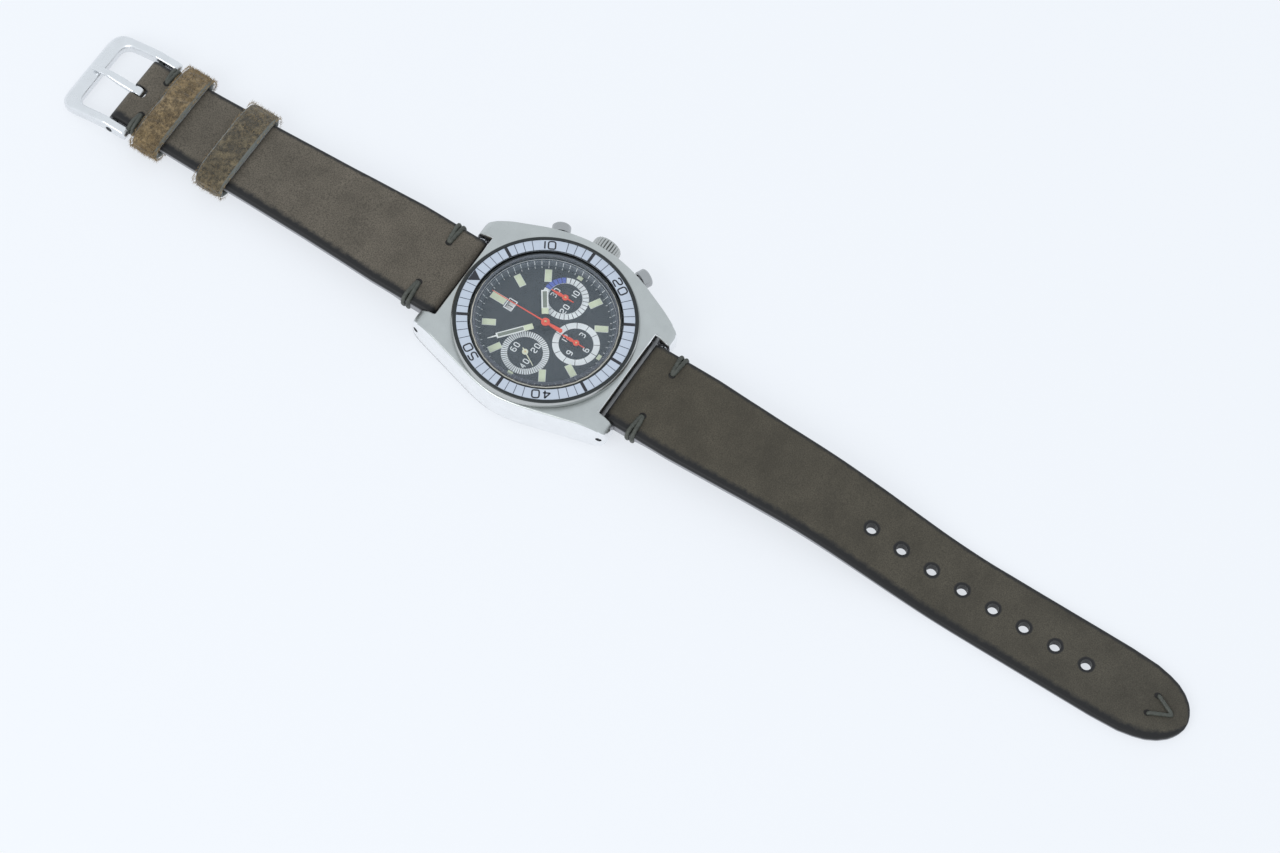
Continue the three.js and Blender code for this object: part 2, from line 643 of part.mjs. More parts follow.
// The short half drops less, and folds round the buckle's bar with a slot for the tongue.
const FOLD = 1.5;
const shortTop = (s) => between(STRAP_TOP, BUCKLE.height + FOLD, smoothstep(30, 92, s));
const shortThickness = (s) => between(between(3.4, 2.4, smoothstep(24, 30, s)), 2 * FOLD, smoothstep(91, 95, s));
const shortPlan = [
  [9.8, 19.3],
  [9.8, 34],
  [9.15, 50],
  [8.7, 66],
  [8.3, 86],
  [8.2, 90],
  [7.7, 92.3],
  [7.7, SHORT_END + 0.2],
];
const shortStations = [23.5, 27, 30, ...spread(40, 92, 6), 93.5, BUCKLE.bar];
const foldNose = arc(FOLD, -80 * DEG, 80 * DEG, 6, [BUCKLE.bar, BUCKLE.height]);
add(
  "strap_short",
  cut(
    strapHalf(1, shortTop, shortThickness, shortStations, foldNose, shortPlan),
    alongX(rod(0.95, -12, 12, 12), BUCKLE.bar, BUCKLE.height),
    block(-1.25, 1.25, 94.6, 100, 0, 8),
  ),
  LEATHER,
);

// A spring bar is a rod with a thinner sprung tip at each end, in the lug's drilled hole.
function springBar(body, tip, halfBody, halfTip) {
  return join(rod(body, -halfBody, halfBody, 12), rod(tip, -halfTip, halfTip, 8));
}
[
  ["spring_bar_12", 1],
  ["spring_bar_6", -1],
].forEach(([name, side]) => {
  const bar = geometryOf(springBar(SPRING_BAR.radius, SPRING_BAR.tip, 9.7, 12.2));
  add(name, alongX(bar, side * SPRING_BAR.y, SPRING_BAR.z), BRIGHT_STEEL);
});

// ---------------------------------------------------------------- buckle and keepers
// The frame is its plan (a U with a wide front bar) within its side view, which curves down to the table.
function buckleFrame() {
  const { inside, outside, front, bar, height } = BUCKLE;
  const plan = new THREE.Shape();
  plan.moveTo(outside, 92.7);
  plan.lineTo(outside, front - 3.4);
  plan.quadraticCurveTo(outside, front, outside - 3.4, front);
  plan.lineTo(3.4 - outside, front);
  plan.quadraticCurveTo(-outside, front, -outside, front - 3.4);
  plan.lineTo(-outside, 92.7);
  plan.lineTo(-inside, 92.7);
  plan.lineTo(-inside, 103.4);
  plan.quadraticCurveTo(-inside, 105.3, 2 - inside, 105.3);
  plan.lineTo(inside - 2, 105.3);
  plan.quadraticCurveTo(inside, 105.3, inside, 103.4);
  plan.lineTo(inside, 92.7);
  const side = [
    [92.6, 3.0],
    [93.4, 2.4],
    [98, 2.2],
    [103, 1.1],
    [107, 0.15],
    [front, TABLE],
    [front + 0.1, 1.6],
    [107, 2.75],
    [103, 3.75],
    [98, 4.9],
    [93.4, 4.9],
    [92.6, 4.2],
  ];
  return cut(
    common(plate(plan, -1, 8), plateAcrossX(side, -11, 11)),
    alongX(rod(0.55, -12, 12, 8), bar, height),
  );
}
add("buckle_frame", buckleFrame(), BRIGHT_STEEL);
const buckleBar = geometryOf(springBar(0.7, 0.45, 7.9, 9.6));
add("buckle_bar", alongX(buckleBar, BUCKLE.bar, BUCKLE.height), BRIGHT_STEEL);

// The tongue is a ring on the bar and a bent finger whose tip lies on the front bar.
function buckleTongue() {
  const finger = [
    [97.2, 3.0],
    [103.4, 3.95],
    [107.2, 2.95],
    [107.7, 3.3],
    [107.3, 3.75],
    [103.6, 4.85],
    [97.0, 4.75],
  ];
  return cut(
    join(
      plateAcrossX(finger, -0.95, 0.95),
      alongX(rod(1.25, -0.95, 0.95, 12), BUCKLE.bar, BUCKLE.height),
    ),
    alongX(rod(0.86, -2, 2, 12), BUCKLE.bar, BUCKLE.height),
  );
}
add("buckle_tongue", buckleTongue(), BRIGHT_STEEL);

// A keeper is a closed loop of suede: a rounded rectangle with a rectangular way through.
function keeper(centre, length, halfWidth, halfHeight, wall, height) {
  const ring = (w, h, corner) => {
    const right = [[w - corner, h], [w, h - corner], [w, corner - h], [w - corner, -h]];
    return mirrored(right).map(([x, z]) => [x, z + height]);
  };
  const inner = ring(halfWidth, halfHeight, 0.4);
  const outer = ring(halfWidth + wall, halfHeight + wall, 1.4);
  return plateAlongY(outer, centre - length / 2, centre + length / 2, [inner]);
}
add("keeper_fixed", keeper(87.9, 6.3, 8.75, 1.4, 1.8, 3.93), SUEDE);
add("keeper_floating", keeper(72.5, 6.8, 9.0, 1.5, 1.7, 4.33), SUEDE);

export default group;
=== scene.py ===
# %% [markdown]
# # A wrist chronograph on a leather strap
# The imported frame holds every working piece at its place. This script gives those pieces their looks:
# smooth metal surfaces, a printed dial, leather, suede and thread. It works in millimetres and turns them
# into metres only when a mesh is made, because a watchmaker's sizes are easier to read in millimetres.

# %% Frame and libraries
import json
from math import cos, pi, radians, sin, tau

import bmesh
import bpy
import numpy as np
from mathutils import Matrix, Vector


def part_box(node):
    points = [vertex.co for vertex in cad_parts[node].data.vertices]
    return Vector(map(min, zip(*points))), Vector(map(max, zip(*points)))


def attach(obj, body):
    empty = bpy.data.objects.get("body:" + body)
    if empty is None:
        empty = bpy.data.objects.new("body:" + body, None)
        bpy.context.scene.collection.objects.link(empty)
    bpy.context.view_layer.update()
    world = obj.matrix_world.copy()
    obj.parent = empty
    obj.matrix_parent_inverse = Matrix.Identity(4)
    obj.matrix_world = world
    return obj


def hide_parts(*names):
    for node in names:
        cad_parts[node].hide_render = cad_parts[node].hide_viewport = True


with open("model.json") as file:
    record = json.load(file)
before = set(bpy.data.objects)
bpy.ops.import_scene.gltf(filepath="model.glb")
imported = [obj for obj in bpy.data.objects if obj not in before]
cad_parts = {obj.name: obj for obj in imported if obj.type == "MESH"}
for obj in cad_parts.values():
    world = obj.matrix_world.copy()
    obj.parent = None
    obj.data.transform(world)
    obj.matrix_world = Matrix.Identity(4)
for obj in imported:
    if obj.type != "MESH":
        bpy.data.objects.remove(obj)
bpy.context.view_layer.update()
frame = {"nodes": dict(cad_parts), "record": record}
scene = bpy.context.scene
scene.view_settings.view_transform = "Standard"
MM = 0.001


def node_box(node):
    """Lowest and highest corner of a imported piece, in millimetres."""
    low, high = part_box(node)
    return np.array(low) / MM, np.array(high) / MM


print("pieces in the frame:", len(frame["nodes"]))

# %% [markdown]
# ## Camera, light and floor
# The watch lies on a light table, so hardly any shadow shows and the punched holes stay bright. A white
# world does most of the lighting, and one wide lamp from the left adds a soft direction. The camera looks
# down at about 64 degrees through a long lens.

# %% Camera
AZIMUTH, ELEVATION, ROLL = radians(-63.39), radians(64.03), radians(6.72)
CAMERA_DISTANCE = 836.4
CAMERA_TARGET = np.array([-6.61, -26.21, 5.0])
LENS, SENSOR = 122.44, 36.0


def aim_camera():
    """Camera whose backward axis is (sin a cos e, -cos a cos e, sin e), rolled about that axis."""
    back = np.array([sin(AZIMUTH) * cos(ELEVATION), -cos(AZIMUTH) * cos(ELEVATION), sin(ELEVATION)])
    level = np.array([cos(AZIMUTH), sin(AZIMUTH), 0.0])
    upright = np.cross(back, level)
    right = cos(ROLL) * level + sin(ROLL) * upright
    up = cos(ROLL) * upright - sin(ROLL) * level
    data = bpy.data.cameras.new("view")
    data.lens, data.sensor_width, data.clip_start = LENS, SENSOR, 0.01
    camera = bpy.data.objects.new("view", data)
    turn = Matrix(np.column_stack([right, up, back]).tolist()).to_4x4()
    place = (CAMERA_TARGET + back * CAMERA_DISTANCE) * MM
    camera.matrix_world = Matrix.Translation(place.tolist()) @ turn
    scene.collection.objects.link(camera)
    scene.camera = camera
    return place


print("camera at", aim_camera().round(3))

# %% [markdown]
# A watch on a light table has light from below and all round, and almost no shadow. A white world, a large
# glowing floor and one soft lamp from the left do the same here.

# %% Light and floor
world = bpy.data.worlds.new("white room")
scene.world = world
world.use_nodes = True
world.node_tree.nodes["Background"].inputs["Color"].default_value = (0.90, 0.95, 1.0, 1)
world.node_tree.nodes["Background"].inputs["Strength"].default_value = 0.93


def area_lamp(name, place, aim, size, power, colour=(1, 1, 1)):
    """A square lamp at place, turned so that its face looks at aim; all in metres and watts."""
    data = bpy.data.lights.new(name, "AREA")
    data.size, data.energy, data.color = size, power, colour
    lamp = bpy.data.objects.new(name, data)
    direction = Vector(aim) - Vector(place)
    lamp.matrix_world = Matrix.Translation(place) @ direction.to_track_quat("-Z", "Y").to_matrix().to_4x4()
    scene.collection.objects.link(lamp)
    return lamp


area_lamp("side lamp", (-0.62, 0.16, 0.58), (0, -0.02, 0), 0.45, 2.3)


def make_floor():
    """A pale, faintly glowing square six metres wide at the table's height."""
    corners = [(-3, -3, 0), (3, -3, 0), (3, 3, 0), (-3, 3, 0)]
    mesh = bpy.data.meshes.new("table")
    mesh.from_pydata(corners, [], [(0, 1, 2, 3)])
    table = bpy.data.objects.new("table", mesh)
    scene.collection.objects.link(table)
    paint = bpy.data.materials.new("table white")
    paint.use_nodes = True
    shader = paint.node_tree.nodes["Principled BSDF"]
    shader.inputs["Base Color"].default_value = (0.22, 0.225, 0.23, 1)
    shader.inputs["Roughness"].default_value = 0.7
    shader.inputs["Emission Color"].default_value = (0.91, 0.945, 1.0, 1)
    shader.inputs["Emission Strength"].default_value = 0.705
    mesh.materials.append(paint)


make_floor()

# %% [markdown]
# ## Shape helpers
# Nearly every piece of a watch is turned on a lathe, pressed from sheet or drawn along a path. So there are
# three ways to make a surface: a profile turned about an axis, a grid of points joined into quads, and an
# outline given a thickness. Each one works on whole arrays.

# %% Mesh objects
MERGE_DISTANCE = 2e-8


def new_object(name, vertices, faces, material=None, sharp=35, tidy=True):
    """A mesh object from points in mm. Doubles are merged, so poles and seams close, and normals face out."""
    mesh = bpy.data.meshes.new(name)
    faces = faces if isinstance(faces, list) else np.asarray(faces).tolist()
    mesh.from_pydata((np.asarray(vertices, float) * MM).tolist(), [], faces)
    if tidy:
        work = bmesh.new()
        work.from_mesh(mesh)
        bmesh.ops.remove_doubles(work, verts=work.verts, dist=MERGE_DISTANCE)
        bmesh.ops.recalc_face_normals(work, faces=work.faces)
        work.to_mesh(mesh)
        work.free()
    smooth(mesh, sharp)
    return linked(name, mesh, material)


def linked(name, mesh, material=None):
    """An object for the mesh, in the scene, with its material."""
    if material is not None:
        mesh.materials.append(material)
    piece = bpy.data.objects.new(name, mesh)
    scene.collection.objects.link(piece)
    return piece


def vertex_points(mesh):
    """The mesh's vertices as an array of (x, y, z)."""
    flat = np.zeros(len(mesh.vertices) * 3)
    mesh.vertices.foreach_get("co", flat)
    return flat.reshape(-1, 3)


def store_numbers(mesh, name, numbers):
    """One number per vertex, which a finish can read by name."""
    layer = mesh.attributes.new(name, "FLOAT", "POINT")
    layer.data.foreach_set("value", numbers.astype(np.float32))

# %% [markdown]
# A surface here is a grid of points in rows and columns. Two neighbouring rows and columns make a quad, and
# either direction may close on itself, which gives tubes and rings.

# %% Grids
def smooth(mesh, sharp):
    """Smooth shading, with a crease wherever two faces meet at more than sharp degrees."""
    mesh.polygons.foreach_set("use_smooth", np.ones(len(mesh.polygons), bool))
    mesh.set_sharp_from_angle(angle=radians(sharp))


def grid_faces(rows, columns, close_rows=False, close_columns=False):
    """Quads of a grid: corner (i, j) joins (i+1, j), (i+1, j+1) and (i, j+1), counted modulo the size."""
    i = np.arange(rows if close_rows else rows - 1)
    j = np.arange(columns if close_columns else columns - 1)
    i, j = np.meshgrid(i, j, indexing="ij")
    corner = lambda a, b: (a % rows) * columns + b % columns
    quads = [corner(i, j), corner(i + 1, j), corner(i + 1, j + 1), corner(i, j + 1)]
    return np.stack(quads, -1).reshape(-1, 4)


def grid_object(name, points, material=None, close_rows=False, close_columns=False, sharp=35):
    """An object from an array of points shaped (rows, columns, 3)."""
    rows, columns = points.shape[:2]
    faces = grid_faces(rows, columns, close_rows, close_columns)
    return new_object(name, points.reshape(-1, 3), faces, material, sharp)


# %% [markdown]
# Turned and swept pieces start as a profile, a list of corners. Real edges are never sharp, so every
# profile can have its corners rounded before it is used.

# %% Profiles
def rounded(corners, radius, steps=4, closed=True):
    """A polygon whose corners are quadratic curves that start and end radius away from the corner."""
    p = np.asarray(corners, float)
    before, after = np.roll(p, 1, 0), np.roll(p, -1, 0)
    reach = lambda q: np.minimum(radius, 0.45 * np.linalg.norm(q - p, axis=1))[:, None]
    unit = lambda q: (q - p) / np.maximum(np.linalg.norm(q - p, axis=1), 1e-9)[:, None]
    a, b = p + unit(before) * reach(before), p + unit(after) * reach(after)
    if not closed:
        a[[0, -1]], b[[0, -1]] = p[[0, -1]], p[[0, -1]]
    t = np.linspace(0, 1, steps + 1)[None, :, None]
    curve = (1 - t) ** 2 * a[:, None] + 2 * t * (1 - t) * p[:, None] + t**2 * b[:, None]
    return curve.reshape(-1, 2)


def turned(name, profile, material=None, segments=160, closed=True, axis=None, sharp=35):
    """A profile of (radius, height) turned about Z: (r cos a, r sin a, z). axis then carries it elsewhere."""
    profile = np.asarray(profile, float)
    a = np.arange(segments) * tau / segments
    r, z = profile[:, 0], profile[:, 1]
    ring = np.stack([np.cos(a)[:, None] * r, np.sin(a)[:, None] * r, np.ones_like(a)[:, None] * z], -1)
    if axis is not None:
        ring = ring @ axis[:3, :3].T + axis[:3, 3]
    return grid_object(name, ring, material, close_rows=True, close_columns=closed, sharp=sharp)


def ring_profile(inner, outer, low, high, radius=0.1):
    """A rectangular section with softened corners."""
    return rounded([(inner, low), (outer, low), (outer, high), (inner, high)], radius, 3)


def slab(name, outline, low, high, material=None, sharp=35):
    """An outline of (x, y) given a thickness from low to high."""
    p = np.asarray(outline, float)
    n = len(p)
    points = np.vstack([np.column_stack([p, np.full(n, low)]), np.column_stack([p, np.full(n, high)])])
    i = np.arange(n)
    faces = np.column_stack([i, (i + 1) % n, (i + 1) % n + n, i + n]).tolist()
    faces += [list(range(n - 1, -1, -1)), list(range(n, 2 * n))]
    return new_object(name, points, faces, material, sharp)


def capped(name, points, material, sharp=50):
    """A sweep shaped (stations, section, 3), closed round its section, with a face at each end."""
    rows, columns = points.shape[:2]
    faces = grid_faces(rows, columns, close_columns=True).tolist()
    faces += [list(range(columns)), list(range((rows - 1) * columns, rows * columns))]
    return new_object(name, points.reshape(-1, 3), faces, material, sharp)


# %% [markdown]
# Holes and slots are cut by exact boolean operations, as a drill or a mill would cut them. Joined pieces
# stay separate shells inside one mesh, each with its own finish.

# %% Joining and carving
def joined(name, pieces):
    """Several mesh objects as one, keeping each one's material."""
    mesh = bpy.data.meshes.new(name)
    work = bmesh.new()
    slots = []
    for piece in pieces:
        start = len(work.faces)
        work.from_mesh(piece.data)
        work.faces.ensure_lookup_table()
        own = list(piece.data.materials)
        for m in own:
            if m not in slots:
                slots.append(m)
        for face in work.faces[start:]:
            face.material_index = slots.index(own[face.material_index]) if own else 0
    work.to_mesh(mesh)
    work.free()
    for m in slots:
        mesh.materials.append(m)
    for piece in pieces:
        bpy.data.objects.remove(piece)
    return linked(name, mesh)


def carve(piece, *cutters, sharp=35):
    """piece less the cutters, by exact booleans that are applied at once."""
    for cutter in cutters:
        step = piece.modifiers.new("cut", "BOOLEAN")
        step.operation, step.solver, step.object = "DIFFERENCE", "EXACT", cutter
    shaped = bpy.data.meshes.new_from_object(piece.evaluated_get(bpy.context.evaluated_depsgraph_get()))
    piece.modifiers.clear()
    piece.data = shaped
    for cutter in cutters:
        bpy.data.objects.remove(cutter)
    smooth(shaped, sharp)
    return piece


def axis_along(direction, place=(0, 0, 0)):
    """A 4x4 array that carries +Z onto direction and the origin to place, in mm."""
    turn = Vector((0, 0, 1)).rotation_difference(Vector(direction)).to_matrix()
    whole = np.eye(4)
    whole[:3, :3] = np.array(turn)
    whole[:3, 3] = place
    return whole


def rod(name, radius, low, high, material=None, axis=None, segments=48):
    """A plain round bar between two heights."""
    return turned(name, [(0, low), (radius, low), (radius, high), (0, high)], material, segments, False, axis)


def settle(piece, body, *nodes, slot=None):
    """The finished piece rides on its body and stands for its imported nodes."""
    piece.name = "look_" + (nodes[0] if nodes else piece.name.replace(" ", "_"))
    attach(piece, body)
    if nodes:
        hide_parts(*nodes)
    return piece


# %% [markdown]
# ## Finishes
# A finish is a small node tree on a Principled shader. Object coordinates drive every pattern, so that a
# pattern stays on its piece. Metal differs mostly in how it was worked: brushed faces have a fine
# direction, polished ones only faint smears.

# %% Node helpers
class Finish:
    """A material and the few node calls that the finishes below share."""

    def __init__(self, name, colour, roughness, metallic=0.0):
        """Starts from one Principled shader with plain values."""
        self.material = bpy.data.materials.new(name)
        self.material.use_nodes = True
        self.nodes, self.links = self.material.node_tree.nodes, self.material.node_tree.links
        self.shader = self.nodes["Principled BSDF"]
        self.shader.inputs["Base Color"].default_value = (*colour, 1)
        self.shader.inputs["Roughness"].default_value = roughness
        self.shader.inputs["Metallic"].default_value = metallic
        self.object = self.nodes.new("ShaderNodeTexCoord").outputs["Object"]

    def stretched(self, scale, source=None):
        """Coordinates multiplied by scale along each axis."""
        node = self.nodes.new("ShaderNodeMapping")
        node.inputs["Scale"].default_value = scale
        self.links.new(source or self.object, node.inputs["Vector"])
        return node.outputs["Vector"]

    def noise(self, scale, detail=3.0, rough=0.55, source=None):
        """Fractal noise from 0 to 1; scale is in repeats per metre."""
        node = self.nodes.new("ShaderNodeTexNoise")
        node.inputs["Scale"].default_value = scale
        node.inputs["Detail"].default_value = detail
        node.inputs["Roughness"].default_value = rough
        self.links.new(source or self.object, node.inputs["Vector"])
        return node.outputs["Fac"]

    def split(self, vector):
        """The x, y and z of a vector socket."""
        node = self.nodes.new("ShaderNodeSeparateXYZ")
        self.links.new(vector, node.inputs[0])
        return node.outputs[0], node.outputs[1], node.outputs[2]

    def attribute(self, name):
        """A number that the mesh carries at each vertex."""
        node = self.nodes.new("ShaderNodeAttribute")
        node.attribute_name = name
        return node.outputs["Fac"]

    def remap(self, value, low, high, to_low, to_high):
        """value moved from one range to another and held inside it."""
        node = self.nodes.new("ShaderNodeMapRange")
        for key, number in zip(("From Min", "From Max", "To Min", "To Max"), (low, high, to_low, to_high)):
            node.inputs[key].default_value = number
        self.links.new(value, node.inputs["Value"])
        return node.outputs["Result"]

    def math(self, operation, a, b=None):
        """One step of arithmetic between sockets or numbers."""
        node = self.nodes.new("ShaderNodeMath")
        node.operation = operation
        for socket, value in zip(node.inputs, (a, b)):
            if value is None:
                continue
            if isinstance(value, (int, float)):
                socket.default_value = value
            else:
                self.links.new(value, socket)
        return node.outputs["Value"]

    def mixed(self, share, a, b):
        """Colour a where share is 0 and b where it is 1; each is a colour or a socket."""
        node = self.nodes.new("ShaderNodeMix")
        node.data_type = "RGBA"
        for socket, value in ((node.inputs[0], share), (node.inputs[6], a), (node.inputs[7], b)):
            if isinstance(value, tuple):
                socket.default_value = (*value, 1)
            elif isinstance(value, float):
                socket.default_value = value
            else:
                self.links.new(value, socket)
        return node.outputs[2]

    def tinted(self, colour, factor):
        """A colour socket times a number socket."""
        node = self.nodes.new("ShaderNodeVectorMath")
        node.operation = "SCALE"
        self.links.new(colour, node.inputs[0])
        self.links.new(factor, node.inputs["Scale"])
        return node.outputs[0]

    def colour(self, socket):
        """Drives the base colour."""
        self.links.new(socket, self.shader.inputs["Base Color"])

    def roughness(self, socket):
        """Drives the roughness."""
        self.links.new(socket, self.shader.inputs["Roughness"])

    def bump(self, height, strength, depth, after=None):
        """Raises the surface by height times depth, in metres."""
        node = self.nodes.new("ShaderNodeBump")
        node.inputs["Strength"].default_value = strength
        node.inputs["Distance"].default_value = depth
        self.links.new(height, node.inputs["Height"])
        if after is not None:
            self.links.new(after, node.inputs["Normal"])
        self.links.new(node.outputs["Normal"], self.shader.inputs["Normal"])
        return node.outputs["Normal"]


# %% [markdown]
# The top of the case is brushed outwards from the middle. All other steel has the look of worn polish: faint
# smears and hair-fine scratches. Each finish uses noise in the object's own space, so no image is needed.

# %% Metals
def shaded(colour, factor):
    """The colour times a factor, held at white."""
    return tuple(min(c * factor, 1) for c in colour)


def worn_metal(name, colour, roughness, smear=0.06, scratch=0.15, grain=9000.0):
    """Steel with faint smears in its gloss and hair-fine scratches in random directions."""
    f = Finish(name, colour, roughness, 1.0)
    f.roughness(f.remap(f.noise(260, 4), 0.3, 0.7, max(roughness - smear, 0.02), roughness + smear))
    worn = f.remap(f.noise(420, 3), 0.35, 0.75, 0.0, 0.35)
    f.colour(f.mixed(worn, colour, shaded(colour, 0.86)))
    f.bump(f.noise(grain, 2, 0.7), scratch, 0.000004)
    return f.material


def radially_brushed(name, colour, roughness):
    """Steel brushed outwards: the noise changes quickly with the angle about Z and slowly with radius."""
    f = Finish(name, colour, roughness, 1.0)
    x, y, _ = f.split(f.object)
    angle = f.math("ARCTAN2", y, x)
    radius = f.math("SQRT", f.math("ADD", f.math("POWER", x, 2.0), f.math("POWER", y, 2.0)))
    place = f.nodes.new("ShaderNodeCombineXYZ")
    f.links.new(f.math("MULTIPLY", angle, 60.0), place.inputs[0])
    f.links.new(f.math("MULTIPLY", radius, 500.0), place.inputs[1])
    lines = f.noise(4.0, 4, 0.75, place.outputs[0])
    f.roughness(f.remap(lines, 0.3, 0.7, roughness - 0.08, roughness + 0.1))
    worn = f.remap(f.noise(300, 4), 0.35, 0.7, 0.0, 0.5)
    f.colour(f.mixed(worn, colour, shaded(colour, 0.84)))
    f.bump(lines, 0.35, 0.00001)
    return f.material


steel_brushed = radially_brushed("radially brushed steel", (0.55, 0.575, 0.565), 0.33)
steel_polished = worn_metal("polished case steel", (0.91, 0.92, 0.93), 0.13)
steel_satin = worn_metal("satin buckle steel", (0.80, 0.815, 0.83), 0.3, 0.08)
steel_crown = worn_metal("crown steel", (0.50, 0.51, 0.50), 0.22)
steel_button = worn_metal("pusher steel", (0.42, 0.43, 0.435), 0.26)
steel_dark = worn_metal("dark steel and painted notch shade", (0.055, 0.06, 0.06), 0.36, 0.1, 0.3)
steel_movement = worn_metal("plain movement steel", (0.56, 0.57, 0.58), 0.25)
brass = worn_metal("movement brass", (0.72, 0.55, 0.26), 0.28)
gilt = worn_metal("gilt balance", (0.78, 0.46, 0.28), 0.2)
blued = worn_metal("blued spring steel", (0.05, 0.08, 0.24), 0.22)


# %% [markdown]
# Dial paint is slightly grainy, printed ink stands on it as a thin layer, and luminous paint is matt and
# uneven. The crystal is acrylic: clear, soft in its reflections and faintly blue at its edge.

# %% Paints, plastics and glass
def speckled(name, colour, roughness, shade=0.8, scale=2200.0, metallic=0.0, depth=0.000004):
    """Paint or plastic: a slight mottle in colour and a fine tooth in the surface."""
    f = Finish(name, colour, roughness, metallic)
    mottle = f.remap(f.noise(scale / 4, 3), 0.35, 0.7, 0.0, 1.0)
    f.colour(f.mixed(mottle, colour, shaded(colour, shade)))
    f.roughness(f.remap(f.noise(scale / 2, 3), 0.3, 0.7, roughness * 0.85, min(roughness * 1.15, 1.0)))
    f.bump(f.noise(scale * 6, 2), 0.4, depth)
    return f.material


PRINT_TOOTH = 0.0000003
DIAL_TOOTH = 0.0000005
dial_paint = speckled("matt black dial paint", (0.024, 0.026, 0.03), 0.62, 0.8, depth=DIAL_TOOTH)
register_paint = speckled("register black paint", (0.016, 0.017, 0.02), 0.66, 0.8, depth=DIAL_TOOTH)
insert_metal = speckled("pale blue anodised insert", (0.56, 0.615, 0.70), 0.34, 0.97, metallic=0.5,
                        depth=PRINT_TOOTH)
ink_black = speckled("black ink", (0.02, 0.022, 0.03), 0.4)
ink_white = speckled("white ink", (0.78, 0.80, 0.80), 0.5, 0.92)
ink_grey = speckled("pale grey ink", (0.42, 0.45, 0.50), 0.5, 0.9)
ink_blue = speckled("violet blue ink", (0.10, 0.14, 0.52), 0.45, 0.85)
lume = speckled("aged luminous paint", (0.66, 0.71, 0.50), 0.6, 0.85, 1800, depth=0.00001)
lume_grey = speckled("shaded luminous paint", (0.20, 0.22, 0.17), 0.6, 0.85, 1800, depth=0.00001)
orange = speckled("orange hand paint", (0.83, 0.07, 0.02), 0.35, 0.85)
cream = speckled("cream hand paint", (0.72, 0.72, 0.55), 0.4, 0.92)
hand_black = speckled("black hand paint", (0.012, 0.012, 0.013), 0.35)
date_paint = speckled("date ring paint", (0.82, 0.81, 0.78), 0.5, 0.95)
rehaut_paint = speckled("rehaut grey blue paint", (0.05, 0.058, 0.07), 0.5, 0.85, depth=DIAL_TOOTH)
nylon = speckled("ivory nylon", (0.74, 0.71, 0.62), 0.4, 0.92)
rubber = speckled("black rubber", (0.02, 0.02, 0.021), 0.7, 0.8)


def clear_acrylic(name, share, colour, roughness, metallic):
    """See-through plastic: light passes straight on, and the given share of it meets the surface instead."""
    f = Finish(name, colour, roughness, metallic)
    clear = f.nodes.new("ShaderNodeBsdfTransparent")
    blend = f.nodes.new("ShaderNodeMixShader")
    blend.inputs[0].default_value = share
    f.links.new(clear.outputs[0], blend.inputs[1])
    f.links.new(f.shader.outputs[0], blend.inputs[2])
    f.links.new(blend.outputs[0], f.nodes["Material Output"].inputs["Surface"])
    return f.material


acrylic = clear_acrylic("clear acrylic", 0.05, (0.76, 0.90, 1.0), 0.06, 1.0)
acrylic_edge = clear_acrylic("acrylic edge", 0.7, (0.11, 0.125, 0.15), 0.15, 0.0)

# %% [markdown]
# ## Case
# The case is one forging: a tonneau body with four lugs, milled flat on top and polished round the side. It
# is built as one closed surface. Each point of the outline is carried over the edge, along the lug to a
# guide line near the bezel, and from there to the round neck. So the lug slopes and the softened edges come
# out of one grid, with no seams.

# %% Case outline
LUG_INNER, LUG_TIP, NOTCH, LUG_ROOT = 10.0, 22.4, 18.95, 18.3
LUG_BAR_Y, LUG_BAR_Z = 21.1, 5.0
NECK_RADIUS, NECK_TOP, BORE, WELL = 14.9, 10.3, 14.05, 14.55
SIDE_TOP = ((0, 9.05), (17.3, 9.05), (18.6, 8.83), (20.3, 8.3), (21.4, 7.55), (22.0, 6.9), (22.4, 5.9))
SIDE_BOTTOM = ((0, 1.5), (19.6, 1.5), (20.8, 1.75), (21.7, 2.3), (22.2, 2.9), (22.4, 3.4))


def curve(a, control, b, count):
    """Quadratic curve from a to b, without its last point."""
    t = np.linspace(0, 1, count, endpoint=False)[:, None]
    a, control, b = (np.asarray(v, float) for v in (a, control, b))
    return (1 - t) ** 2 * a + 2 * t * (1 - t) * control + t**2 * b


def straight(a, b, count):
    """Evenly spaced points from a to b, without the last."""
    t = np.linspace(0, 1, count, endpoint=False)[:, None]
    return np.asarray(a, float) * (1 - t) + np.asarray(b, float) * t


def quarter(bulge, shoulder, corner):
    """Outline and guide line from the flank's middle to the middle of the strap notch, for one lug."""
    flank = curve((bulge[0], 0), bulge, shoulder, 44)
    wall = straight(shoulder, corner, 22)
    tip = curve(corner, (corner[0] - 0.45, LUG_TIP), (12.1, LUG_TIP), 8)
    end = straight((12.1, LUG_TIP), (LUG_INNER + 0.35, LUG_TIP), 7)
    turn = curve((LUG_INNER + 0.35, LUG_TIP), (LUG_INNER, LUG_TIP), (LUG_INNER, LUG_TIP - 0.35), 4)
    inner = straight((LUG_INNER, LUG_TIP - 0.35), (LUG_INNER, NOTCH), 12)
    notch = straight((LUG_INNER, NOTCH), (0, NOTCH), 20)
    outline = np.vstack([flank, wall, tip, end, turn, inner, notch])
    guide_flank = flank * (1 - 1.1 / np.linalg.norm(flank, axis=1))[:, None]
    root = np.array(shoulder) * (1 - 1.1 / np.hypot(*shoulder))
    guide_wall = straight(root, (13.1, 16.9), len(wall))
    across = len(tip) + len(end) + len(turn) + len(inner)
    guide_across = straight((13.1, 16.9), (9.66, LUG_ROOT), across)
    guide_notch = notch * (LUG_ROOT / NOTCH)
    return outline, np.vstack([guide_flank, guide_wall, guide_across, guide_notch])


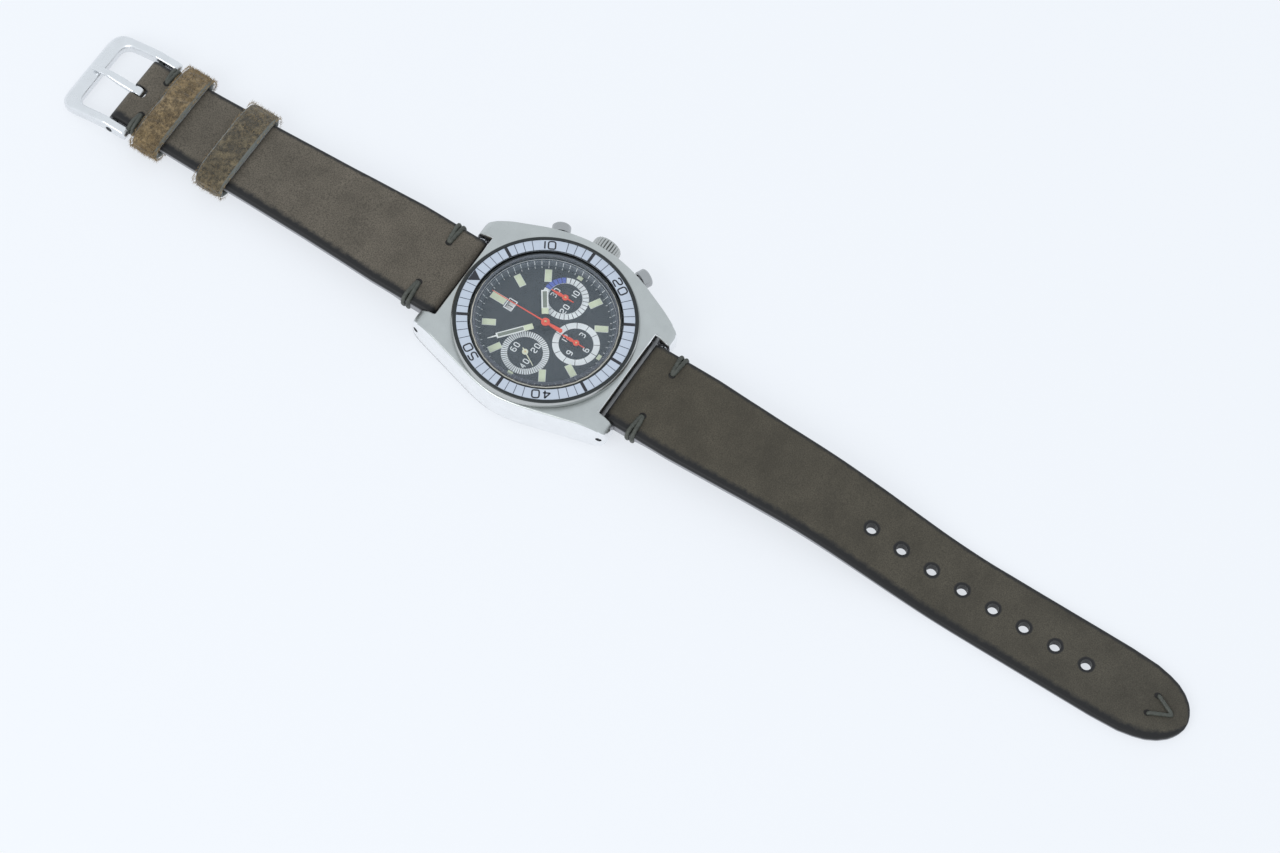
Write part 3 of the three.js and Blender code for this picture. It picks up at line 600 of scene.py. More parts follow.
def case_outline():
    """Four quarters mirrored round the case; the right flank bulges more than the left one."""
    right, right_guide = quarter((20.3, 6.5), (17.0, 13.7), (13.55, 21.5))
    left, left_guide = quarter((18.6, 2.9), (17.3, 7.5), (13.4, 21.4))
    flip = lambda p, sx, sy: (p * (sx, sy))[::-1] if sx * sy < 0 else p * (sx, sy)
    loops = []
    for r, l in ((right, left), (right_guide, left_guide)):
        loops.append(np.vstack([r, flip(l, -1, 1), l * (-1, -1), flip(r, 1, -1)]))
    return loops

# %% [markdown]
# The edge of such a case is a narrow polished bevel all round. Here it is made by moving the outline inwards
# along its own normals and down by a matching height, so its width stays the same at every point.

# %% Case body
def normals_out(loop):
    """Unit normal of a closed anticlockwise loop: the tangent turned a quarter to the right."""
    tangent = np.roll(loop, -1, 0) - np.roll(loop, 1, 0)
    tangent /= np.maximum(np.linalg.norm(tangent, axis=1), 1e-9)[:, None]
    return np.column_stack([tangent[:, 1], -tangent[:, 0]])


def dress_case(body):
    """Brushed where a face looks up outside the neck; dark steel in the strap notches as painted shade, and
    dark round the crystal.
    """
    body.data.materials.append(steel_brushed)
    body.data.materials.append(steel_dark)
    centres = np.array([f.center for f in body.data.polygons]) / MM
    normals = np.array([f.normal for f in body.data.polygons])
    x, y, z = centres.T
    radius = np.hypot(x, y)
    on_top = (normals[:, 2] > 0.6) & (z > 5) & (radius > NECK_RADIUS)
    # The notch walls take near-black steel as painted shade, standing for the shaded gap between case and
    # strap.
    painted_notch_shade = (np.abs(x) < 9.95) & (np.abs(y) > 18.4) & (np.abs(y) < 19.1) & (z > 1.9) & (z < 8.35)
    by_crystal = (radius < 14.97) & (z > 8.6)
    slots = np.where(painted_notch_shade | by_crystal, 2, on_top)
    body.data.polygons.foreach_set("material_index", slots.astype(np.int32))


def make_case():
    """Rows run from the bore over the bottom, edge, flank and top to the neck, and close inside."""
    outline, guide = case_outline()
    moves_on = np.linalg.norm(np.roll(outline, -1, 0) - outline, axis=1) > 1e-6
    outline, guide = outline[moves_on], guide[moves_on]
    out = normals_out(outline)
    polar = np.arctan2(guide[:, 1], guide[:, 0])
    circle = lambda r: np.column_stack([np.cos(polar), np.sin(polar)]) * r
    top = lambda p, drop: np.interp(np.abs(p[:, 1]), *zip(*SIDE_TOP)) - drop
    bottom = lambda p, rise: np.interp(np.abs(p[:, 1]), *zip(*SIDE_BOTTOM)) + rise
    rows = [(circle(BORE), None, 1.5), (guide, "b", 0), (outline - out * 0.45, "b", 0)]
    rows += [(outline - out * inset, "b", up) for inset, up in ((0.13, 0.13), (0, 0.45))]
    rows += [(outline, "m", share) for share in (0.3, 0.6)]
    top_edge = ((0, 0.42), (0.06, 0.2), (0.2, 0.05), (0.38, 0))
    rows += [(outline - out * inset, "t", down) for inset, down in top_edge]
    rim = outline - out * 0.38
    rows += [(rim * (1 - t) + guide * t, "t", 0) for t in (0.15, 0.3, 0.45, 0.6, 0.75, 0.9)]
    rows += [(guide * (1 - t) + circle(NECK_RADIUS) * t, "t", 0) for t in (0, 0.25, 0.5, 0.75, 1)]
    rows += [(circle(NECK_RADIUS), None, NECK_TOP - 0.1), (circle(NECK_RADIUS - 0.1), None, NECK_TOP)]
    rows += [(circle(WELL), None, NECK_TOP), (circle(WELL), None, 8.15), (circle(BORE), None, 8.15)]
    heights = []
    for plan, kind, value in rows:
        low, high = bottom(plan, 0.45), top(plan, 0.42)
        given = {"b": bottom(plan, value), "t": top(plan, value), "m": low + (high - low) * value}
        heights.append(given.get(kind, np.full(len(plan), value)))
    points = np.stack([np.column_stack([plan, z]) for (plan, _, _), z in zip(rows, heights)])
    body = grid_object("case", points, steel_polished, close_rows=True, close_columns=True, sharp=32)
    dress_case(body)
    holes = [rod("lug hole", 0.6, -16, 16, steel_polished, axis_along((1, 0, 0), (0, y, LUG_BAR_Z)), 32)
             for y in (LUG_BAR_Y, -LUG_BAR_Y)]
    carve(body, *holes, sharp=32)
    print("case faces:", len(body.data.polygons))
    return settle(body, "case", "case_middle", slot="brushed_case_steel")


make_case()

# %% [markdown]
# The back is a turned steel disc that screws in and closes the case against its gasket. Six slots in its rim
# take the key that opens it. A thin ring stands where such a back often carries text.

# %% Case back
def make_case_back():
    """A screwed lid with a bevelled rim and six slots for the opening key."""
    profile = rounded([(0, 0), (14.4, 0), (15.6, 0.9), (15.6, 1.48), (14.0, 1.48), (14.0, 3.0), (13.3, 3.0),
                       (13.3, 1.2), (0, 1.2)], 0.12, 2, False)
    lid = turned("case back", profile, steel_satin, 180, False)
    slots = []
    for k in range(6):
        a = k * tau / 6
        c, s = cos(a), sin(a)
        sides = ((14.0, -1.1), (16.2, -1.1), (16.2, 1.1), (14.0, 1.1))
        box = [(r * c - w * s, r * s + w * c) for r, w in sides]
        slots.append(slab("key slot", box, -0.5, 0.5, steel_satin))
    carve(lid, *slots)
    ring = turned("back ring", ring_profile(9.6, 9.75, 0, 0.02, 0.005), steel_dark, 160)
    print("key slots cut:", len(slots))
    return settle(joined("case back", [lid, ring]), "case", "case_back", slot="polished_steel")


make_case_back()

# %% [markdown]
# ## Bezel and its printed scale
# The bezel turns on the neck. Its rim is nearly black steel on top and lighter steel on its lower wall. A
# pale anodised ring with sixty fields lies in it, printed with a pointer at zero, numbers every ten minutes
# and bars between them.

# %% Printed marks
PRINT = 0.018


def clock(angle):
    """Unit vectors outwards and clockwise at an angle in degrees clockwise from twelve."""
    a = radians(angle)
    return np.array([sin(a), cos(a)]), np.array([cos(a), -sin(a)])


def prisms(name, quads, low, high, material):
    """Many four-cornered fields as one mesh of closed blocks. A height may be a function of the corners."""
    q = np.asarray(quads, float)
    ahead = np.roll(q, -1, 1)
    area = (q[..., 0] * ahead[..., 1] - q[..., 1] * ahead[..., 0]).sum(1)
    q = np.where((area < 0)[:, None, None], q[:, ::-1], q)
    n = len(q)
    points = np.zeros((n, 8, 3))
    points[:, :4, :2] = points[:, 4:, :2] = q
    points[:, :4, 2] = low(q) if callable(low) else low
    points[:, 4:, 2] = high(q) if callable(high) else high
    corners = np.array([(3, 2, 1, 0), (4, 5, 6, 7), (0, 1, 5, 4), (1, 2, 6, 5), (2, 3, 7, 6), (3, 0, 4, 7)])
    faces = (corners[None] + 8 * np.arange(n)[:, None, None]).reshape(-1, 4)
    return new_object(name, points.reshape(-1, 3), faces, material, tidy=False)


def bar(angle, inner, outer, width, centre=(0, 0)):
    """Corners of a radial bar at a clock angle, the same width from end to end."""
    out, along = clock(angle)
    half = along * width / 2
    c = np.array(centre)
    return [c + out * inner - half, c + out * inner + half, c + out * outer + half, c + out * outer - half]


def field(a, b, inner, outer, centre=(0, 0)):
    """Corners of a ring segment between two clock angles."""
    c = np.array(centre)
    first, second = clock(a)[0], clock(b)[0]
    return [c + first * inner, c + second * inner, c + second * outer, c + first * outer]

# %% [markdown]
# The figures on the bezel and in the registers are squarish, with strokes of one width, as engraving machines
# made them. They are drawn here from a few corner points each, so no typeface is copied.

# %% Figures
STROKES = {
    "0": [[(0.5, 0), (1, 0), (1, 1), (0, 1), (0, 0), (0.5, 0)]],
    "1": [[(0.5, 0), (0.5, 1)]],
    "2": [[(0, 0.76), (0, 1), (1, 1), (1, 0.52), (0, 0.4), (0, 0), (1, 0)]],
    "3": [[(0, 1), (1, 1), (1, 0.52), (0.3, 0.52)], [(0.6, 0.52), (1, 0.52), (1, 0), (0, 0)]],
    "4": [[(0.72, 0), (0.72, 1), (0, 0.3), (1, 0.3)]],
    "5": [[(0.95, 1), (0.05, 1), (0.02, 0.58), (1, 0.58), (1, 0), (0, 0)]],
    "6": [[(0.95, 1), (0, 1), (0, 0), (1, 0), (1, 0.56), (0.1, 0.56)]],
    "9": [[(0.05, 0), (1, 0), (1, 1), (0, 1), (0, 0.44), (0.9, 0.44)]],
}


def ribbon(path, width):
    """Quads along a path: every point goes half a width to either side, square to the local direction."""
    path = path[np.append(True, np.linalg.norm(np.diff(path, axis=0), axis=1) > 1e-6)]
    ahead = np.gradient(path, axis=0)
    side = np.column_stack([-ahead[:, 1], ahead[:, 0]]) / np.linalg.norm(ahead, axis=1)[:, None] * width / 2
    a, b = path + side, path - side
    return np.stack([a[:-1], b[:-1], b[1:], a[1:]], 1)


def numerals(text, centre, height, stroke, low, high, material, turn=0.0, aspect=0.62, gap=0.2):
    """Squarish digits drawn as strokes of one width, centred on a point, turned clockwise by turn degrees."""
    widths = [stroke if digit == "1" else height * aspect for digit in text]
    out, along = clock(turn)
    start = -(sum(widths) + height * gap * (len(text) - 1)) / 2
    quads = []
    for digit, wide in zip(text, widths):
        room = np.array([wide - stroke, height - stroke])
        for line in STROKES[digit]:
            path = rounded(np.array(line) * room, height * (0.06 if digit == "4" else 0.26), 4, False)
            path = path + (start + stroke / 2, -room[1] / 2)
            quads.append(ribbon(np.array(centre) + path[:, :1] * along + path[:, 1:] * out, stroke))
        start += wide + height * gap
    return prisms("digits " + text, np.concatenate(quads), low, high, material)


def lettering(text, centre, size, low, high, material, turn=0.0, heavy=0.0):
    """Digits as a solid of the given cap height, centred on a point and turned clockwise by turn degrees."""
    data = bpy.data.curves.new(text, "FONT")
    data.body, data.size, data.align_x, data.align_y = text, 1.0, "CENTER", "CENTER"
    data.fill_mode, data.extrude, data.offset, data.resolution_u = "BOTH", 0.5, heavy, 3
    holder = bpy.data.objects.new(text, data)
    scene.collection.objects.link(holder)
    mesh = bpy.data.meshes.new_from_object(holder.evaluated_get(bpy.context.evaluated_depsgraph_get()))
    bpy.data.objects.remove(holder)
    p = vertex_points(mesh)
    middle = (p.min(0) + p.max(0)) / 2
    x, y = ((p[:, :2] - middle[:2]) * size / (p[:, 1].max() - p[:, 1].min())).T
    out, along = clock(turn)
    plan = np.array(centre) + x[:, None] * along + y[:, None] * out
    placed = np.column_stack([plan, np.where(p[:, 2] > middle[2], high, low)])
    mesh.vertices.foreach_set("co", (placed * MM).ravel())
    mesh.materials.clear()
    return linked("digits " + text, mesh, material)


# %% [markdown]
# The bezel is a turned steel ring with a softened rim. Its insert is a thin anodised washer. The scale on it
# is a ring of sixty fields with figures, made as solid prints.

# %% Bezel
def make_bezel():
    """A turned ring with a softened rim and a seat for the insert. Its top is nearly black steel, its lower
    wall lighter steel.
    """
    profile = rounded([(15.0, 9.15), (18.1, 9.15), (18.3, 9.45), (18.3, 10.3), (17.95, 10.88), (17.6, 10.95),
                       (17.34, 10.93), (17.34, 10.45), (15.0, 10.45)], 0.14, 3)
    rim = turned("bezel rim", profile, steel_dark, 240)
    rim.data.materials.append(steel_crown)
    x, y, z = np.array([face.center for face in rim.data.polygons]).T / MM
    wall = (np.hypot(x, y) > 18.0) & (z < 10.6)
    rim.data.polygons.foreach_set("material_index", wall.astype(np.int32))
    print("bezel faces:", len(rim.data.polygons))
    return settle(rim, "bezel", "bezel_ring", slot="bezel_steel")


def make_insert():
    """The pale ring, its sixty fields, five-minute bars, four numbers and the pointer."""
    low, high = 10.45, 10.82
    ink = high + 0.012 + PRINT
    section = rounded([(15.06, low), (17.3, low), (17.3, high), (15.06, high + 0.02)], 0.05, 2)
    marks = [turned("insert", section, insert_metal, 240)]
    thin = [bar(6.0 * k, 15.12, 17.24, 0.13) for k in range(60)]
    marks.append(prisms("field lines", thin, high, ink, ink_grey_blue))
    heavy = [bar(30.0 * k, 15.1, 17.26, 0.62) for k in (1, 3, 5, 6, 7, 9, 11)]
    marks.append(prisms("five minute bars", heavy, high, ink + 0.004, ink_black))
    out, along = clock(0)
    pointer = [out * r + along * w for r, w in ((15.12, -0.03), (15.12, 0.03), (17.2, 1.35), (17.2, -1.35))]
    marks.append(prisms("pointer", [pointer], high, ink + 0.004, ink_black))
    for minute in (10, 20, 40, 50):
        angle = minute * 6.0
        clear = [field(angle + a, angle + a + 4.4, 15.14, 17.26) for a in (-6.6, -2.2, 2.2)]
        marks.append(prisms("number field", clear, high, ink + 0.002, insert_metal))
        place = clock(angle)[0] * 16.17
        marks.append(numerals(str(minute), place, 1.94, 0.31, high, ink + 0.008, ink_black, angle, 0.88, 0.2))
    marks.append(turned("insert edge", ring_profile(15.0, 15.12, high - 0.05, ink, 0.01), steel_dark, 240))
    whole = joined("bezel insert", marks)
    print("insert faces:", len(whole.data.polygons))
    return settle(whole, "bezel", "bezel_insert", slot="bezel_insert")


ink_grey_blue = speckled("dark thin ink", (0.06, 0.07, 0.10), 0.4)
make_bezel()
make_insert()

# %% [markdown]
# ## Crystal, rehaut and dial
# A domed acrylic crystal stands over a black dial. The sloping ring inside it carries the seconds scale.
# The dial has three sunk registers: thirty minutes at three, twelve hours at six and running seconds at
# nine. It has a date window at twelve. The lines of maker's text are left out.

# %% Crystal and rehaut
def make_crystal():
    """Two domes joined at the wall: each height is its rim plus its rise times 1 - (r / radius)^2."""
    r = np.linspace(0, 13.6, 40)
    inside = np.column_stack([r, 10.4 + 1.25 * (1 - (r / 13.6) ** 2)])
    wide = np.concatenate([np.linspace(14.2, 13.6, 6), np.linspace(13.55, 0, 40)])
    outside = np.column_stack([wide, 10.9 + 1.5 * (1 - (wide / 14.2) ** 2)])
    profile = np.vstack([inside, [(13.6, 9.2), (14.2, 9.2)], outside])
    cap = turned("crystal", profile, acrylic, 200, False, sharp=30)
    cap.data.materials.append(acrylic_edge)
    x, y, _ = np.array([face.center for face in cap.data.polygons]).T / MM
    wall = np.hypot(x, y) > 13.62
    cap.data.polygons.foreach_set("material_index", wall.astype(np.int32))
    print("crystal faces:", len(wall), "of them in the wall:", int(wall.sum()))
    return settle(cap, "case", "crystal", slot="acrylic")


SLOPE_IN, SLOPE_OUT = (12.98, 8.36), (13.9, 9.2)


def make_rehaut():
    """The sloping ring, with a mark for each second and a finer one for each fifth of a second."""
    section = [(12.98, 8.17), (14.45, 8.17), (14.45, 9.2), SLOPE_OUT, SLOPE_IN]
    ring = turned("rehaut", rounded(section, 0.03, 1), rehaut_paint, 240)
    circle = turned("white circle", ring_profile(13.86, 13.96, 9.19, 9.23, 0.01), ink_white, 240)
    k = np.arange(300)
    second, fifth_second = k % 5 == 0, k % 25 == 0
    inner = np.where(fifth_second, 13.02, np.where(second, 13.12, 13.5))
    width = np.where(second, 0.11, 0.04)
    quads = np.array([bar(1.2 * i, inner[i], 13.86, width[i]) for i in k])
    slope = lambda r: np.interp(r, *zip(SLOPE_IN, SLOPE_OUT))
    on_slope = lambda lift: lambda q: slope(np.linalg.norm(q, axis=2)) + lift
    ticks = [prisms("seconds scale", quads[second], on_slope(-0.02), on_slope(0.015), ink_white),
             prisms("fifths scale", quads[~second], on_slope(-0.02), on_slope(0.012), ink_grey)]
    print("rehaut marks:", len(k))
    return settle(joined("rehaut", [ring, circle, *ticks]), "case", "rehaut_ring", slot="dial_black")


make_crystal()
make_rehaut()

# %% [markdown]
# The dial is a stamped brass disc in matt black paint with three sunk registers. The prints are real layers
# of ink. The luminous bars are thick, so that their edges catch some light.

# %% Dial
REGISTER, DIAL_TOP = 7.1, 8.15
REGISTERS = {3: (REGISTER, 0.0), 6: (0.0, -REGISTER), 9: (-REGISTER, 0.0)}
SUNK = 0.09
REGISTER_NUMBERS = {3: {0: "30", 120: "10", 240: "20"}, 6: {0: "12", 90: "3", 180: "6", 270: "9"},
                    9: {0: "60", 120: "20", 240: "40"}}


def ring_fields(centre, count, gap, inner, outer):
    """Equal fields round a centre, gap degrees apart, each split so often that its arc looks round."""
    step = 360.0 / count
    splits = max(1, int(round(step / 7.0)))
    found = []
    for k in range(count):
        a = np.linspace(k * step + gap / 2, (k + 1) * step - gap / 2, splits + 1)
        found += [field(a[i], a[i + 1], inner, outer, centre) for i in range(splits)]
    return found


def dial_plate():
    """The disc, less three sunk registers, the holes for the arbors and the date opening."""
    disc = [(0, 7.75), (13.3, 7.75), (13.3, DIAL_TOP), (0, DIAL_TOP)]
    plate = turned("dial plate", disc, dial_paint, 200, False)
    wells = []
    for x, y in REGISTERS.values():
        place = axis_along((0, 0, 1), (x, y, 0))
        wells.append(rod("register", 4.78, DIAL_TOP - SUNK, 9, register_paint, place, 96))
        wells.append(rod("arbor hole", 0.4, 7, 9, register_paint, place, 24))
    wells.append(rod("centre hole", 1.15, 7, 9, register_paint, None, 32))
    window = [(-1.0, 7.35), (1.0, 7.35), (1.0, 8.75), (-1.0, 8.75)]
    wells.append(slab("date opening", window, 7, 9, dial_paint))
    return carve(plate, *wells)


def register_prints():
    """Rings of fields and three or four numbers in each register."""
    low, high = DIAL_TOP - SUNK - 0.01, DIAL_TOP - SUNK + PRINT
    print_in = lambda name, quads, ink: prisms(name, quads, low, high, ink)
    thirty = [field(12 * k + 0.9, 12 * k + 11.1, 3.38, 4.62, REGISTERS[3]) for k in range(30)]
    marks = [print_in("thirty minute fields", thirty[5:], ink_white),
             print_in("five minute fields", thirty[:5], ink_blue),
             print_in("hour fields", ring_fields(REGISTERS[6], 12, 1.7, 3.38, 4.62), ink_white),
             print_in("seconds fields", ring_fields(REGISTERS[9], 60, 1.9, 3.45, 4.68), ink_white),
             print_in("minute ring", ring_fields(REGISTERS[3], 60, 0.0, 3.34, 3.42), ink_white)]
    for at, texts in REGISTER_NUMBERS.items():
        for angle, text in texts.items():
            place = np.array(REGISTERS[at]) + clock(angle)[0] * 2.3
            marks.append(numerals(text, place, 1.32, 0.2, low, high, ink_white, 0, 0.66, 0.22))
    return marks

# %% [markdown]
# Everything that is printed stands a few hundredths of a millimetre above the plate: the date's frame, the
# minute marks and the bars, which are luminous paint on a slightly larger white foot.

# %% Dial prints
def dial_prints():
    """The date frame, the luminous bars on their white feet, and the minute marks."""
    face = DIAL_TOP
    box = lambda x0, x1, y0, y1: [(x0, y0), (x1, y0), (x1, y1), (x0, y1)]
    frame_sides = [box(-1.25, 1.25, 7.1, 7.33), box(-1.25, 1.25, 8.77, 9.0),
                   box(-1.25, -1.02, 7.3, 8.8), box(1.02, 1.25, 7.3, 8.8)]
    hours = (1, 2, 4, 5, 7, 8, 10, 11)
    bars = [bar(30.0 * k, 9.62, 12.17, 1.25) for k in hours] + [bar(0, 9.25, 12.3, 1.5)]
    bars += [bar(90.0 * k, 12.0, 12.75, 1.1) for k in (1, 2, 3)]
    feet = [bar(30.0 * k, 9.54, 12.25, 1.4) for k in hours] + [bar(0, 9.17, 12.38, 1.65)]
    minutes = [bar(6.0 * k, 12.55, 12.95, 0.1) for k in range(60)]
    return [prisms("date frame", frame_sides, face + 0.04, face + 0.05 + PRINT, ink_white),
            prisms("luminous bars", bars, face - 0.02, face + 0.12, lume),
            prisms("bar edges", feet, face - 0.02, face + 0.035, ink_white),
            prisms("minute marks", minutes, face - 0.01, face + PRINT, ink_white)]


def make_dial():
    """Plate and prints as one piece."""
    whole = joined("dial", [dial_plate(), *register_prints(), *dial_prints()])
    print("dial faces:", len(whole.data.polygons))
    return settle(whole, "case", "dial", slot="dial_black")


make_dial()


def make_date():
    """The ring of days under the dial; thirty-one numbers, the first under the window."""
    low, high = node_box("date_ring")
    z = high[2]
    ring = turned("date ring", ring_profile(6.6, high[0], low[2], z - 0.02, 0.02), date_paint, 160)
    digits = []
    for day in range(1, 32):
        angle = (day - 1) * 360 / 31
        place = clock(angle)[0] * 8.05
        digits.append(lettering(str(day), place, 1.05, z - 0.03, z, ink_black, angle, 0.01))
    return settle(joined("date ring", [ring, *digits]), "date_ring", "date_ring", slot="date_white")


print("date ring box", [v.round(2).tolist() for v in node_box("date_ring")])
make_date()

# %% [markdown]
# ## Hands
# The hour and minute hands are black at the root, carry a white box frame filled with shaded luminous
# paint, and have a pale block where the box begins. The stopwatch hands are orange red; the running seconds
# hand is cream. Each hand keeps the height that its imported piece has.

# %% Hands
HANDS = {"hour": 55.8, "minute": 309.5, "seconds": 210.0}


def turned_plan(points, angle, centre=(0, 0)):
    """Points drawn with the hand at twelve, turned clockwise by angle degrees about centre."""
    out, along = clock(angle)
    return [np.array(centre) + along * x + out * y for x, y in points]


def round_plan(radius, count=40, centre=(0, 0)):
    """Points of a circle: centre + radius (cos a, sin a)."""
    a = np.arange(count) * tau / count
    return np.column_stack([np.cos(a), np.sin(a)]) * radius + np.array(centre)


def box_hand(node, body, angle, neck, end, width, tip, hub):
    """Black stem, pale block, white frame round shaded paint, and a white needle tip."""
    bottom = node_box(node)[0][2]
    top = bottom + 0.15
    blade = lambda name, x0, x1, y0, y1, low, high, paint: slab(
        name, turned_plan([(-x0, y0), (x0, y0), (x1, y1), (-x1, y1)], angle), low, high, paint)
    half = width / 2
    inner = half * 0.62
    block = neck + (end - neck) * 0.24
    parts = [slab("hub", round_plan(hub), bottom, top, hand_black),
             blade("stem", 0.3, 0.22, 0, neck, bottom, top - 0.01, hand_black),
             blade("frame", half, half, neck, end, bottom, top, cream_white),
             blade("block", half, half, neck, block, top - 0.03, top + 0.03, lume),
             blade("window", inner, inner, block + 0.12, end - 0.3, top - 0.02, top + 0.015, lume_grey)]
    if tip - end > 1:
        parts.append(blade("needle", 0.16, 0.05, end, tip, bottom, top, cream_white))
    print(node, "lies from", round(float(bottom), 2), "to", round(float(top), 2), "mm")
    return settle(joined(node, parts), body, node, slot="hand_black")


def needle_hand(node, body, centre, angle, plan, hub, paint, slot, cap, dot):
    """A flat needle with a round hub, a raised cap and a dark dot in its middle."""
    bottom = node_box(node)[0][2]
    top = bottom + 0.12
    parts = [slab("blade", turned_plan(plan, angle, centre), bottom, top, paint),
             slab("hub", round_plan(hub, 40, centre), bottom, top + 0.03, paint),
             slab("cap", round_plan(cap, 32, centre), top, top + 0.06, paint),
             slab("dot", round_plan(dot, 24, centre), top, top + 0.075, hand_black)]
    print(node, "lies from", round(float(bottom), 2), "to", round(float(top), 2), "mm")
    return settle(joined(node, parts), body, node, slot=slot)


cream_white = speckled("white hand enamel", (0.80, 0.81, 0.78), 0.35, 0.95)
box_hand("hour_hand", "hours", HANDS["hour"], 2.1, 7.3, 1.35, 7.3, 1.5)
box_hand("minute_hand", "minutes", HANDS["minute"], 2.5, 9.9, 1.15, 11.7, 1.3)
SWEEP = [(-0.45, -3.6), (-0.28, -1.2), (-0.14, 0), (-0.1, 6), (-0.045, 12.3), (0.045, 12.3), (0.1, 6),
         (0.14, 0), (0.28, -1.2), (0.45, -3.6), (0, -3.9)]
needle_hand("chrono_seconds_hand", "chrono_seconds", (0, 0), 0, SWEEP, 0.85, orange, "hand_orange", 0.5, 0.16)
LANCE = [(-0.1, 0), (-0.36, 1.2), (-0.07, 3.2), (0.07, 3.2), (0.36, 1.2), (0.1, 0), (0.09, -1.9),
         (-0.09, -1.9)]
NEEDLE = [(-0.11, 0), (-0.05, 3.3), (0.05, 3.3), (0.11, 0), (0.1, -1.0), (-0.1, -1.0)]
needle_hand("minute_counter_hand", "minute_counter", REGISTERS[3], 0, LANCE, 0.62, orange, "hand_orange",
            0.3, 0.1)
needle_hand("hour_counter_hand", "hour_counter", REGISTERS[6], 0, LANCE, 0.62, orange, "hand_orange",
            0.3, 0.12)
needle_hand("running_seconds_hand", "running_seconds", REGISTERS[9], HANDS["seconds"], NEEDLE, 0.6, cream,
            "hand_cream", 0.34, 0.15)

# %% [markdown]
# ## Crown and pushers
# The crown is a fluted knob on the stem, milled on the real watch. Here its radius is a wave round the axis,
# faded out towards both rounded ends.

# %% Crown
CONTROL = 5.2


def make_crown():
    """Radius r(a) = R - d * (1 - |cos(13 a)|^0.6), with the flutes fading towards both rounded ends."""
    flutes, per = 26, 10
    a = np.arange(flutes * per) * tau / (flutes * per)
    wave = 1 - np.abs(np.cos(a * flutes / 2)) ** 0.6
    x = np.array([20.5, 20.52, 20.62, 20.8, 21.1, 21.6, 22.1, 22.5, 22.75, 22.95, 23.06, 23.1, 23.1, 23.04,
                  23.06])
    r = np.array([1.4, 2.4, 2.72, 2.9, 3.0, 3.0, 3.0, 2.97, 2.88, 2.72, 2.5, 2.2, 1.75, 1.6, 0.0])
    depth = np.array([0, 0, 0.3, 0.42, 0.46, 0.46, 0.46, 0.42, 0.34, 0.2, 0.06, 0, 0, 0, 0])
    radius = r[None, :] - depth[None, :] * wave[:, None]
    points = np.stack([np.broadcast_to(x, radius.shape), radius * np.cos(a)[:, None],
                       radius * np.sin(a)[:, None] + CONTROL], -1)
    first = points[:, :1].copy()
    first[:, :, 1], first[:, :, 2] = 0, CONTROL
    knob = grid_object("crown", np.concatenate([first, points], 1), steel_crown, close_rows=True, sharp=40)
    print("crown flutes:", flutes)
    return settle(knob, "crown", "crown", slot="polished_steel")


make_crown()


# %% [markdown]
# Each pusher is a turned cap on a stem. The cap slides over a collar on the case. The space in it keeps the
# spring free at full travel.

# %% Pushers
def make_pusher(name, angle):
    """Cap, stem, tube and collar turned about an axis that lies angle degrees from the crown's.

    The cap is hollow down to its face, which leaves the spring room at full travel."""
    a = radians(angle)
    axis = axis_along((cos(a), sin(a), 0), (0, 0, CONTROL))
    cap = rounded([(0, 13.0), (0.6, 13.0), (0.6, 23.64), (1.45, 23.64), (1.45, 21.9), (1.9, 21.9),
                   (1.9, 23.5), (1.55, 23.86), (0, 23.9)], 0.12, 3, False)
    settle(turned(name, cap, steel_button, 96, False, axis), name, name, slot="polished_steel")
    tube = turned(name + " tube", ring_profile(0.75, 1.25, 14.2, 21.1, 0.05), steel_crown, 48, True, axis)
    collar = turned(name + " collar", ring_profile(1.25, 1.8, 18.0, 21.05, 0.1), steel_button, 64, True, axis)
    settle(joined(name + " tube", [tube, collar]), "case", name + "_tube", slot="polished_steel")


make_pusher("start_pusher", 25)
make_pusher("reset_pusher", -25)

# %% [markdown]
# ## Strap
# Each strap half is one thick piece of nubuck leather folded round its spring bar. The edges are burnished
# and rounded over. Only a few stitches of thick waxed thread hold the folds. A half is built as a sweep: a
# rounded section that changes its width, height and thickness along the length.

# %% Leather
THREAD_COLOUR = (0.07, 0.075, 0.062)


